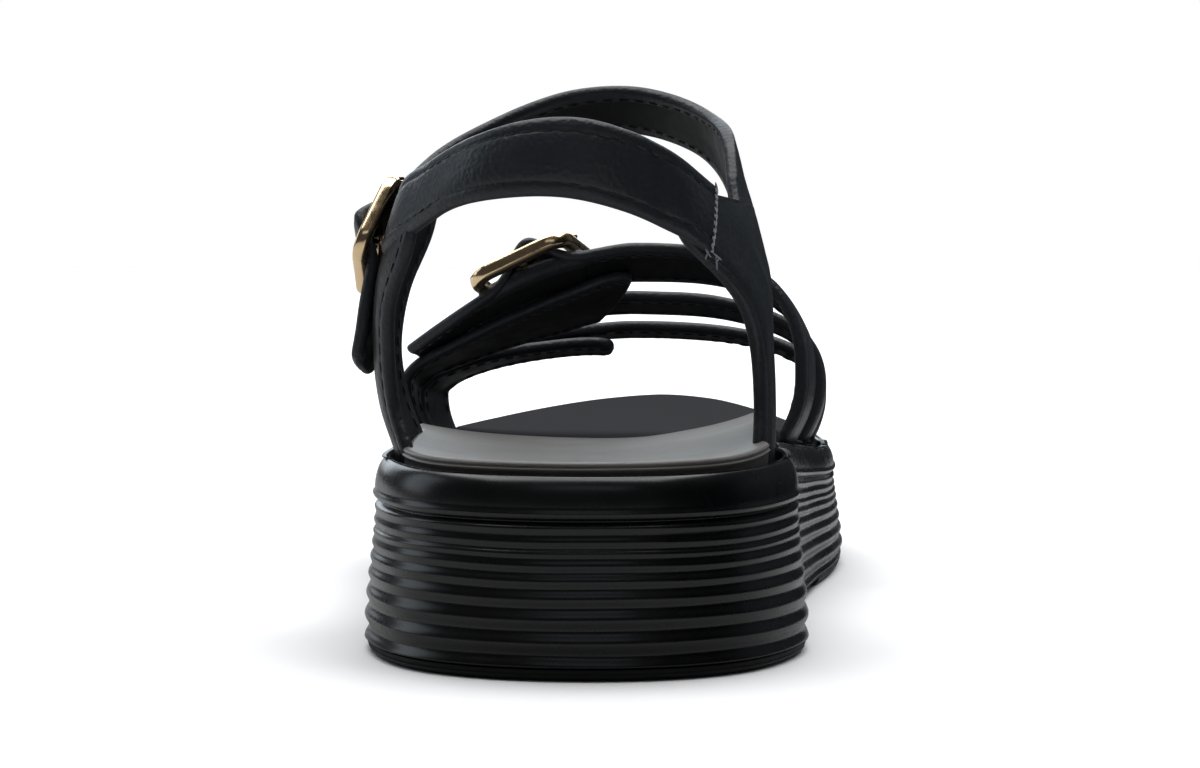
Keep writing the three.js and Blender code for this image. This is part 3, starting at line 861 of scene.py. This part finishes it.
def makeStrap(name, surface, rows, changes=(), creases=(), buckle=None, replaces=()):
    s = {**strapSettings, **dict(changes)}
    stations = strapStations(surface, rows, s)
    sections = []
    for at, inset, thinning in stations:
        row = rowAt(rows, at)
        if buckle:
            row["lift"] += buckle["dome"] * bump(at, buckle["at"], 0.6)
        row["lift"] += s.get("low", 0)
        for start, end, rise in s.get("rises", ()):
            row["lift"] += rise * smooth(start, end, at)
        width = (placeOn(surface, row, 1, 0) - placeOn(surface, row, 0, 0)).length
        sections.append((at, row, width, inset, thinning, section(width, s)))
    sides = len(sections[0][5])
    bm = gridBlank(len(stations) - 1, sides - 1)

    def point(u, v):
        at, row, width, inset, thinning, ring = sections[round(u * (len(stations) - 1))]
        e, height = ring[round(v * (sides - 1))]
        e = inset + e * (width - 2 * inset) / width
        half = s["thickness"] / 2
        height = half + (height - half) * thinning
        share = e / width
        for where, across, along, wide, rise, slant in creases:
            height += rise * bump(at + slant * (share - across), where, along) * bump(share, across, wide)
        p = placeOn(surface, row, share, height)
        out = normalOf(surface, mix(row["a"], row["c"], 0.5), mix(row["b"], row["d"], 0.5))
        p += out * s["uneven"] * noise.noise(p * 0.09)
        return metres(p.x, p.y, p.z)

    bend(bm, point)
    lining = 10
    for face in bm.faces:
        v = sum(loop[bm.loops.layers.uv.active].uv.y for loop in face.loops) / len(face.loops) * (sides - 1)
        face.material_index = 1 if v < lining - 3.5 or v > sides - 1 - (lining - 3.5) else 0
    bmesh.ops.remove_doubles(bm, verts=bm.verts, dist=1e-6)
    bmesh.ops.holes_fill(bm, edges=[e for e in bm.edges if e.is_boundary], sides=0)
    piece = addPiece(name, bm, [strapLeather, liningLeather], replaces, flip=True)
    print(name, "made,", len(piece.data.polygons), "faces")
    return piece


# stitches: one small bead of thread each
stitchSettings = {"length": 2.1, "pitch": 2.9, "thick": 0.36, "inside": 0.02}


def addStitch(bm, start, end, thick, out):
    along = (end - start).normalized()
    side = out.cross(along).normalized()
    up = along.cross(side)
    turn = Matrix((along, side, up)).transposed().to_4x4()
    size = Matrix.Diagonal(((end - start).length / 2, thick / 2, thick / 2.2, 1))
    place = Matrix.Translation((start + end) / 2)
    bmesh.ops.create_uvsphere(bm, u_segments=7, v_segments=5, radius=1, matrix=place @ turn @ size)


def stitchLine(bm, surface, rows, edge, seam, height, span, lifts):  # edge 0 or 1 of the strap
    s = stitchSettings
    at, end = span
    out = 1 if height > 0 else -1
    while at < end:
        row = rowAt(rows, at)
        row["lift"] += lifts(at)
        width = (placeOn(surface, row, 1, 0) - placeOn(surface, row, 0, 0)).length
        share = seam / width if edge == 0 else 1 - seam / width
        here, ahead = (strapPoint(surface, rows, row, share, 0) for row in (at, at + 0.02))
        perRow = (ahead - here).length / 0.02
        nextRow = rowAt(rows, at + s["length"] / perRow)
        nextRow["lift"] += lifts(at + s["length"] / perRow)
        a, b = placeOn(surface, row, share, height), placeOn(surface, nextRow, share, height)
        normal = normalOf(surface, mix(row["a"], row["c"], share), mix(row["b"], row["d"], share)) * out
        addStitch(bm, metres(*a), metres(*b), s["thick"] / 1000, normal)
        at += s["pitch"] / perRow


def stitchStrap(name, surface, rows, span, changes=(), buckle=None):  # two seams outside and two inside
    s = {**strapSettings, **dict(changes)}
    bm = bmesh.new()

    def lifts(at):
        rise = buckle["dome"] * bump(at, buckle["at"], 0.6) if buckle else 0
        rise += s.get("low", 0)
        return rise + sum(up * smooth(first, last, at) for first, last, up in s.get("rises", ()))

    outside = s["thickness"] - s["seamDip"] * 0.6 + s["crown"] * 0.3
    for height in (outside, -stitchSettings["inside"]):
        for edge in (0, 1):
            stitchLine(bm, surface, rows, edge, s["seam"], height, span, lifts)
    return addPiece(name, bm, [blackThread])


# ankle part: heel strap, side legs and ankle strap, as edges by angle and height
heelStrap = strapRows(
    (-84, 63.5, -84, 75.5),
    (-57, 70.0, -60, 81.2),
    (-38, 74.2, -38, 85.4),
    (-18, 76.2, -18, 88.0),
    (2, 76.4, 2, 88.7),
    (20, 74.3, 20, 87.2),
    (36, 70.6, 36, 84.2),
    (50, 66.2, 59, 76.2),
    (74, 59.0, 76, 72.5),
)
lateralQuarter = strapRows(
    (-67, 27.5, -111, 27.5),
    (-66, 34.0, -111, 34.0),
    (-66, 42.0, -110, 42.0, -0.5),
    (-65, 50.0, -110, 50.0, -0.8),
    (-64, 58.0, -113, 59.0, -0.5),
    (-58, 66.0, -118, 68.0),
    (-60, 74.5, -115, 77.0),
)
# up the inner side with a lobe to the heel strap, over the front, down to the buckle
ankleStrap = strapRows(
    (72, 27.5, 108, 27.5),
    (72, 34.0, 108, 34.0),
    (73, 42.0, 108, 42.0),
    (71, 50.0, 108, 50.0),
    (64, 57.0, 110, 56.5),
    (54, 62.5, 111, 60.5),
    (41, 68.6, 110.5, 63.5),
    (39, 73.0, 109.5, 66.5),
    (44, 76.6, 109, 69.0),
    (60, 75.6, 109.5, 71.2),
    (71, 74.0, 110.5, 73.4),
    (79, 79.6, 114, 77.4),
    (94, 85.6, 124, 80.8),
    (120, 89.2, 140, 83.6),
    (146, 92.2, 158, 85.4),
    (170, 93.4, 176, 86.0),
    (194, 92.6, 195, 84.8),
    (215, 90.0, 212, 81.5),
    (234, 86.0, 225, 77.4, 0.4),
    (250, 81.0, 236, 72.2, 1.6),
    (264, 75.6, 246, 67.6, 2.0),
    (271, 68.8, 252, 63.2, 2.0),
    (274, 61.4, 254, 57.4, 2.0),
    (276, 54.0, 256, 51.8, 2.2),
    (276, 49.0, 257, 45.0, 3.2),
)

# forefoot part: two outer bands and three straps over the top, as edges by angle and station
instepBand = strapRows(
    (-32, 145, -32, 164),
    (-12, 146, -12, 165),
    (12, 147, 12, 166, -0.6),
    (32, 146, 34, 166, -1.8),
    (52, 143, 54, 165, -2.0),
    (68, 139, 66, 163, -2.0),
    (80, 135, 72, 160, -2.0),
    (91, 134, 77, 157, -2.2),
)
toeBand = strapRows(
    (-28, 168, -28, 187),
    (-10, 169, -10, 188),
    (14, 169, 14, 187, -0.6),
    (36, 170, 36, 185, -1.4),
    (56, 171, 56, 183, -2.4),
    (72, 171, 71, 182, -3.2),
    (83, 172, 80, 181, -4.0),
)
instepStrap = strapRows(
    (212, 117, 212, 131),
    (196, 118, 196, 132),
    (178, 120, 178, 134),
    (158, 122, 158, 137),
    (136, 124, 136, 139),
    (114, 125, 114, 140),
    (95, 126, 95, 141),
    (80, 127, 80, 142),
    (68, 128, 68, 143, 0.2),
    (57, 129, 57, 144, 0.2),
    (46, 131, 46, 146, 0.2),
    (35, 134, 35, 149, 0.2),
    (24, 138, 25, 153, 0.8),
    (12, 142, 15, 157, 2.0),
)
ballStrap = strapRows(
    (210, 146, 210, 157),
    (196, 147, 196, 158),
    (178, 148, 178, 159),
    (156, 149, 156, 160),
    (130, 150, 130, 161),
    (104, 150, 104, 161),
    (84, 150, 84, 161),
    (60, 151, 60, 162),
    (40, 153, 40, 163),
)
toeStrap = strapRows(
    (208, 165, 208, 175),
    (196, 166, 196, 176),
    (178, 168, 178, 178),
    (156, 171, 156, 181),
    (130, 173, 130, 183),
    (104, 174, 104, 184),
    (84, 174, 84, 184),
    (60, 174, 60, 184),
    (40, 174, 40, 184),
)

# buckles: length along the strap, width across it, and at, the row of the strap that they sit on
strapThick = strapSettings["thickness"]


def buckleSizes(**size):
    size["lift"] = size["under"] + strapThick + sole["gap"]
    size["dome"] = size["lift"] + size["pin"] + sole["gap"] - size["under"] + size["fullness"]
    return size


instepBuckle = buckleSizes(
    length=22, width=21.6, corner=5, bar=2.8, thick=2.4, pin=2, under=0.9, at=8.7, tilt=6, fullness=1.2)
ankleBuckle = buckleSizes(
    length=17.5, width=18.4, corner=4.5, bar=2.5, thick=2, pin=1.6, under=2, at=20.8, tilt=0, fullness=0.8)

heelLook = {
    "start": 0.25,
    "end": 6.85,
    "startRound": True,
    "corner": 0.8,
    "rises": [(5.7, 6.4, 1.35), (1.0, 0.5, 0.9)],   # both ends lie on top of the side legs
}
# creases: row, place across, reach along and across, height, slant
makeStrap("heel_strap", ankle, heelStrap, heelLook, replaces=["upper_ankle_straps"], creases=[
    (5.7, 0.5, 0.25, 0.5, -0.15, 0.3), (1.4, 0.4, 0.3, 0.5, -0.2, -0.3)])
makeStrap("outer_quarter", ankle, lateralQuarter, {"start": 0.35, "endRound": False, "end": 5.9}, creases=[
    (4.2, 0.3, 1.2, 0.07, -0.3, 0.2), (3.4, 0.6, 1.0, 0.08, 0.3, 0.0)])
makeStrap("ankle_strap", ankle, ankleStrap, {"start": 0.35, "corner": 2.4}, buckle=ankleBuckle, creases=[
    (6.4, 0.33, 2.2, 0.045, -0.45, 0.0),
    (6.8, 0.44, 2.4, 0.05, 0.40, 0.0),
    (6.2, 0.56, 2.4, 0.045, -0.45, 0.0),
    (5.6, 0.70, 2.2, 0.06, 0.35, 0.0),
    (2.4, 0.35, 1.0, 0.09, -0.25, 0.0),
    (11.4, 0.5, 0.8, 0.14, -0.25, 0.5),
    (12.4, 0.6, 0.6, 0.12, 0.2, 0.3)])
makeStrap("instep_band", instep, instepBand, {"corner": 2.6}, replaces=["upper_instep_straps"])
makeStrap("instep_strap", instep, instepStrap, {"corner": 0.6, "end": 12.7}, buckle=instepBuckle)
loopRows = [{**row, "b": row["b"] + 0.5, "d": row["d"] - 0.5} for row in instepStrap]
makeStrap("instep_loop", instep, loopRows, {
    "start": 7.4, "end": 10.2, "startRound": True, "low": -0.3, "thickness": 3.3})
makeStrap("ball_strap", instep, ballStrap, {"endRound": False, "seam": 1.9})
makeStrap("toe_band", instep, toeBand, {"corner": 4.2}, replaces=["upper_toe_straps"])
makeStrap("toe_strap", instep, toeStrap, {"endRound": False, "seam": 1.9})

stitchStrap("heel_stitches", ankle, heelStrap, (0.5, 6.62), heelLook)
stitchStrap("outer_quarter_stitches", ankle, lateralQuarter, (0.8, 5.6))
stitchStrap("ankle_stitches", ankle, ankleStrap, (12.0, 23.5), buckle=ankleBuckle)
stitchStrap("instep_band_stitches", instep, instepBand, (1.0, 6.6))
stitchStrap("instep_stitches", instep, instepStrap, (1.2, 12.2), buckle=instepBuckle)
stitchStrap("ball_stitches", instep, ballStrap, (1.2, 7.6), {"seam": 1.9})
stitchStrap("toe_band_stitches", instep, toeBand, (1.0, 5.45))
stitchStrap("toe_stitches", instep, toeStrap, (1.2, 7.6), {"seam": 1.9})


heelSeam = {
    "at": 6.83,             # row of the heel strap
    "reach": 0.10,
    "spread": (0.02, 0.98),
    "turns": 20,
    "thread": 0.46,
    "onStrap": 1.78,        # over the heel strap's raised end
    "onLeg": 0.35,
    "ends": [(0.12, 0.10), (-0.1, 0.17), (0.16, 0.05), (0.02, 0.22), (-0.14, 0.12)],
}


def zigzagSeam(name, surface, rows, s):
    bm = bmesh.new()
    points = []
    for k in range(s["turns"] + 1):
        share = mix(*s["spread"], k / s["turns"])
        side = s["reach"] if k % 2 else -s["reach"]
        points.append((s["at"] + side, share, strapThick + s["onStrap" if side < 0 else "onLeg"]))
    for (a, s1, h1), (b, s2, h2) in zip(points, points[1:]):
        start, end = strapPoint(surface, rows, a, s1, h1), strapPoint(surface, rows, b, s2, h2)
        row = rowAt(rows, a)
        normal = normalOf(surface, mix(row["a"], row["c"], s1), mix(row["b"], row["d"], s1))
        addStitch(bm, metres(*start), metres(*end), s["thread"] / 1000, normal)
    for k, (along, down) in enumerate(s["ends"]):  # loose ends below the seam
        a, s1 = s["at"] - 0.16 + 0.09 * k, s["spread"][0] + 0.02
        start = strapPoint(surface, rows, a, s1, strapThick + 0.9)
        end = strapPoint(surface, rows, a + along, s1 - down, strapThick + 1.6)
        addStitch(bm, metres(*start), metres(*end), s["thread"] * 0.7 / 1000, normal)
    return addPiece(name, bm, [greyThread])


zigzagSeam("heel_seam", ankle, heelStrap, heelSeam)


# buckles
def buckleMatrix(surface, rows, size):
    flat, at = [{**r, "lift": 0} for r in rows], size["at"]
    here = strapPoint(surface, flat, at, 0.5, 0)
    before, after = (strapPoint(surface, flat, row, 0.5, 0) for row in (at - 0.4, at + 0.4))
    along = (before - after).normalized()
    side = strapPoint(surface, flat, at, 1, 0) - strapPoint(surface, flat, at, 0, 0)
    out = along.cross(side).normalized()
    if out.dot(here - Vector((0, here.y, 45))) < 0:
        out.negate()
    over = out.cross(along).normalized()
    here = here + out * size["lift"]
    tilt = Matrix.Rotation(math.radians(-size["tilt"]), 3, over)
    along, out = tilt @ along, tilt @ out
    turn = Matrix((along, over, out)).transposed().to_4x4()
    return Matrix.Translation(metres(*here)) @ turn @ Matrix.Scale(0.001, 4)


def roundedRing(length, width, corner, count):  # points and outward directions round a rectangle
    corners = [(1, -1, -math.pi / 2), (1, 1, 0), (-1, 1, math.pi / 2), (-1, -1, math.pi)]
    points = []
    for sx, sy, start in corners:
        for k in range(count + 1):
            turn = start + math.pi / 2 * k / count
            out = Vector((math.cos(turn), math.sin(turn), 0))
            centre = Vector((sx * (length / 2 - corner), sy * (width / 2 - corner), 0))
            points.append((centre + out * corner, out))
    full = []
    for (p, o), (q, _) in zip(points, points[1:] + points[:1]):
        full.append((p, o))
        if (q - p).length > 2:
            full += [(p.lerp(q, k / 4), o) for k in range(1, 4)]
    return full


frameSettings = {"cornerSteps": 12, "sides": 24, "square": 0.62, "deeper": 0.4}


def makeFrame(name, size, matrix, replaces):
    s = frameSettings
    bar = size["bar"]
    path = roundedRing(size["length"] - bar, size["width"] - bar, size["corner"] - bar / 2, s["cornerSteps"])
    bm = gridBlank(len(path), s["sides"])

    def point(u, v):
        p, out = path[round(u * len(path)) % len(path)]
        turn = 2 * math.pi * v
        across = math.copysign(abs(math.cos(turn)) ** s["square"], math.cos(turn))
        up = math.copysign(abs(math.sin(turn)) ** s["square"], math.sin(turn))
        deep = size["thick"] + s["deeper"]
        local = p + out * across * bar / 2 + Vector((0, 0, deep / 2 * (1 + up) - s["deeper"]))
        return matrix @ local

    bend(bm, point)
    bmesh.ops.remove_doubles(bm, verts=bm.verts, dist=1e-6)
    turn = Matrix.Rotation(math.pi / 2, 4, "X")
    pin = matrix @ Matrix.Translation((0, 0, size["pin"] / 2)) @ turn
    bmesh.ops.create_cone(bm, cap_ends=True, segments=24, radius1=size["pin"] / 2, radius2=size["pin"] / 2,
                          depth=size["width"] - bar, matrix=pin)
    return addPiece(name, bm, [buckleGold], [replaces], flip=True)


def makeProng(name, size, matrix, replaces):
    rest, pin = size["thick"] + sole["gap"], size["pin"]
    end = size["length"] / 2 - 0.3
    sideView = [
        (-pin * 0.55, pin * 0.1),
        (-pin * 0.62, pin * 0.9),
        (0.1, pin + 0.62),
        (pin / 2 + 2.2, pin + 1.5),
        (end * 0.6, rest + 1.9),
        (end - 1.4, rest + 0.9),
        (end, rest + 0.55),
    ]
    knots = [Vector((along, 0, up)) for along, up in sideView]
    steps, sides = 8, 14
    path = []
    for i in range(len(knots) - 1):
        p = [knots[min(max(i + k - 1, 0), len(knots) - 1)] for k in range(4)]
        square, cube = 2 * p[0] - 5 * p[1] + 4 * p[2] - p[3], 3 * p[1] - p[0] - 3 * p[2] + p[3]
        for k in range(steps):
            t = k / steps
            path.append(0.5 * (2 * p[1] + (p[2] - p[0]) * t + square * t**2 + cube * t**3))
    path.append(knots[-1])
    bm = gridBlank(len(path) - 1, sides)

    def point(u, v):
        i = round(u * (len(path) - 1))
        along = (path[min(i + 1, len(path) - 1)] - path[max(i - 1, 0)]).normalized()
        up = Vector((0, 1, 0)).cross(along) * -1
        turn = 2 * math.pi * v
        thin = 1 - 0.25 * u - 0.65 * smooth(0.95, 1.0, u) - 0.5 * (1 - smooth(0, 0.03, u))
        ring = Vector((0, 1, 0)) * math.cos(turn) * 0.95 + up * math.sin(turn) * 0.6
        return matrix @ (path[i] + ring * thin)

    bend(bm, point)
    bmesh.ops.remove_doubles(bm, verts=bm.verts, dist=1e-6)
    bmesh.ops.holes_fill(bm, edges=[e for e in bm.edges if e.is_boundary], sides=0)
    return addPiece(name, bm, [buckleGold], [replaces], flip=True)


for name, surface, rows, size in (
    ("instep_buckle", instep, instepStrap, instepBuckle),
    ("ankle_buckle", ankle, ankleStrap, ankleBuckle),
):
    matrix = buckleMatrix(surface, rows, size)
    makeFrame(name + "_ring", size, matrix, name + "_frame")
    makeProng(name + "_tongue", size, matrix, name + "_prong")


anklePost = {
    "at": 20.05,            # row of the ankle strap
    "share": 0.03,
    "base": 1.4,
    "height": 2.8,
    "radius": 0.85,
    "parts": [(0, 0.62, 0.8, 1), (0.62, 0.80, 1.05, 0), (0.80, 1, 0.9, 1)],  # start, end, width, finish
}


def makePost(name, surface, rows, s):  # small dark pin with a gold collar, beside the ankle buckle
    foot = strapPoint(surface, rows, s["at"], s["share"], s["base"])
    head = strapPoint(surface, rows, s["at"], s["share"], s["base"] + 1)
    upright = Vector((-0.08, 0.1, 1)).normalized()
    side = upright.cross(head - foot).normalized()
    turn = Matrix((side, upright.cross(side), upright)).transposed().to_4x4()
    bm = bmesh.new()
    for start, end, wide, finish in s["parts"]:
        middle = foot + upright * s["height"] * (start + end) / 2
        radius = s["radius"] * wide / 1000
        made = bmesh.ops.create_cone(
            bm, cap_ends=True, segments=24, radius1=radius, radius2=radius,
            depth=s["height"] * (end - start) / 1000, matrix=Matrix.Translation(metres(*middle)) @ turn)
        for face in {f for v in made["verts"] for f in v.link_faces}:
            face.material_index = finish
    edges = [e for e in bm.edges if e.calc_face_angle(0) > 1]
    bmesh.ops.bevel(bm, geom=edges, offset=0.00012, segments=2, profile=0.5, affect="EDGES", material=-1)
    return addPiece(name, bm, [buckleGold, outsoleRubber])


makePost("ankle_post", ankle, ankleStrap, anklePost)
print("buckles made")

# floor, light and camera
stageSettings = {
    "floorSize": 1.6,       # metres from the middle to an edge
    "floorColour": (0.88, 0.88, 0.885),
    "around": 0.07,         # light from the backdrop
    "seen": 1.0,            # the backdrop itself
    "gamma": 0.85,
}
coolWhite = (0.86, 0.94, 1.0)
lights = table(
    "name place target size power colour",
    ("topSoftbox", (0.0, 0.35, 1.5), (0, 0.15, 0), (2.2, 1.6), 40, (1, 1, 1)),
    ("frontSoftbox", (0.0, -1.3, 1.2), (0, 0, 0.05), (1.2, 0.35), 0.9, coolWhite),
    ("backSoftbox", (0.0, 1.7, 0.7), (0, 0.1, 0.05), (2.4, 1.2), 18, coolWhite),
    ("innerSoftbox", (1.3, 0.9, 0.5), (0, 0.08, 0.04), (0.8, 0.8), 2.2, coolWhite),
    ("outerSoftbox", (-1.4, 0.5, 0.6), (0, 0.08, 0.04), (0.8, 0.9), 3.0, coolWhite),
)
cards = table(
    "name place size upright tone",
    ("innerCard", (0.100, 0.60, 0.002), (0.20, 1.45), True, 0.01),
    ("floorCard", (0.0, 0.1, 0.001), (1.4, 1.4), False, 0.5),
)


def makeFloor():
    bm = bmesh.new()
    bmesh.ops.create_grid(bm, x_segments=1, y_segments=1, size=stageSettings["floorSize"])
    floor = meshObject("floor", bm)
    material, shader = shaderOf("floorPaper", {"Roughness": 0.9, "Specular IOR Level": 0.1})
    patches = noiseOf(material, 3.0)
    pale = stageSettings["floorColour"]
    link = material.node_tree.links.new
    link(blendColours(material, patches, pale, tuple(c * 0.99 for c in pale)), shader.inputs["Base Color"])
    floor.data.materials.append(material)


def addLight(name, place, target, size, power, colour):
    data = bpy.data.lights.new(name, "AREA")
    data.shape, data.size, data.size_y = "RECTANGLE", *size
    data.energy, data.color = power, colour
    light = bpy.data.objects.new(name, data)
    light.location = place
    light.rotation_euler = (Vector(target) - Vector(place)).to_track_quat("-Z", "Y").to_euler()
    light.visible_camera = False
    bpy.context.scene.collection.objects.link(light)


def makeWorld():  # the backdrop is white, and the light from it is dimmer all round
    world = bpy.data.worlds.new("studio")
    world.use_nodes = True
    nodes, link = world.node_tree.nodes, world.node_tree.links.new
    around = nodes["Background"]
    around.inputs["Color"].default_value = (1, 1, 1, 1)
    around.inputs["Strength"].default_value = stageSettings["around"]
    seen = nodes.new("ShaderNodeBackground")
    seen.inputs["Color"].default_value = (1, 1, 1, 1)
    seen.inputs["Strength"].default_value = stageSettings["seen"]
    path, choose = nodes.new("ShaderNodeLightPath"), nodes.new("ShaderNodeMixShader")
    link(path.outputs["Is Camera Ray"], choose.inputs[0])
    link(around.outputs[0], choose.inputs[1])
    link(seen.outputs[0], choose.inputs[2])
    link(choose.outputs[0], nodes["World Output"].inputs["Surface"])
    bpy.context.scene.world = world


cameraSettings = {"place": (0.0443, -0.636, 0.089), "yaw": 3.81, "pitch": 3.98, "lens": 115}


def makeCamera():
    data = bpy.data.cameras.new("camera")
    data.lens, data.sensor_width = cameraSettings["lens"], 36
    data.clip_start, data.clip_end = 0.05, 80
    camera = bpy.data.objects.new("camera", data)
    camera.location = cameraSettings["place"]
    pitch, yaw = math.radians(90 - cameraSettings["pitch"]), math.radians(cameraSettings["yaw"])
    camera.rotation_euler = (pitch, 0, yaw)
    bpy.context.scene.collection.objects.link(camera)
    bpy.context.scene.camera = camera


def makeCard(name, place, size, upright, tone):  # a card that only the reflections in the shoe see
    bm = bmesh.new()
    bmesh.ops.create_grid(bm, x_segments=1, y_segments=1, size=0.5)
    for v in bm.verts:
        across, along = v.co.x * size[0], v.co.y * size[1]
        flat, raised = Vector((across, along, 0)), Vector((0, along, across + size[0] / 2))
        v.co = Vector(place) + (raised if upright else flat)
    card = meshObject(name, bm)
    material, shader = shaderOf(name, {"Roughness": 0.95, "Specular IOR Level": 0.1})
    link = material.node_tree.links.new
    patches = noiseOf(material, 3.0)
    link(blendColours(material, patches, (tone,) * 3, (tone * 0.98,) * 3), shader.inputs["Base Color"])
    card.data.materials.append(material)
    card.visible_camera = card.visible_shadow = card.visible_diffuse = False


makeFloor()
for card in cards:
    makeCard(**card)
makeWorld()
for light in lights:
    addLight(**light)
makeCamera()
bpy.context.scene.view_settings.view_transform = "Standard"
bpy.context.scene.view_settings.gamma = stageSettings["gamma"]
print("stage ready")
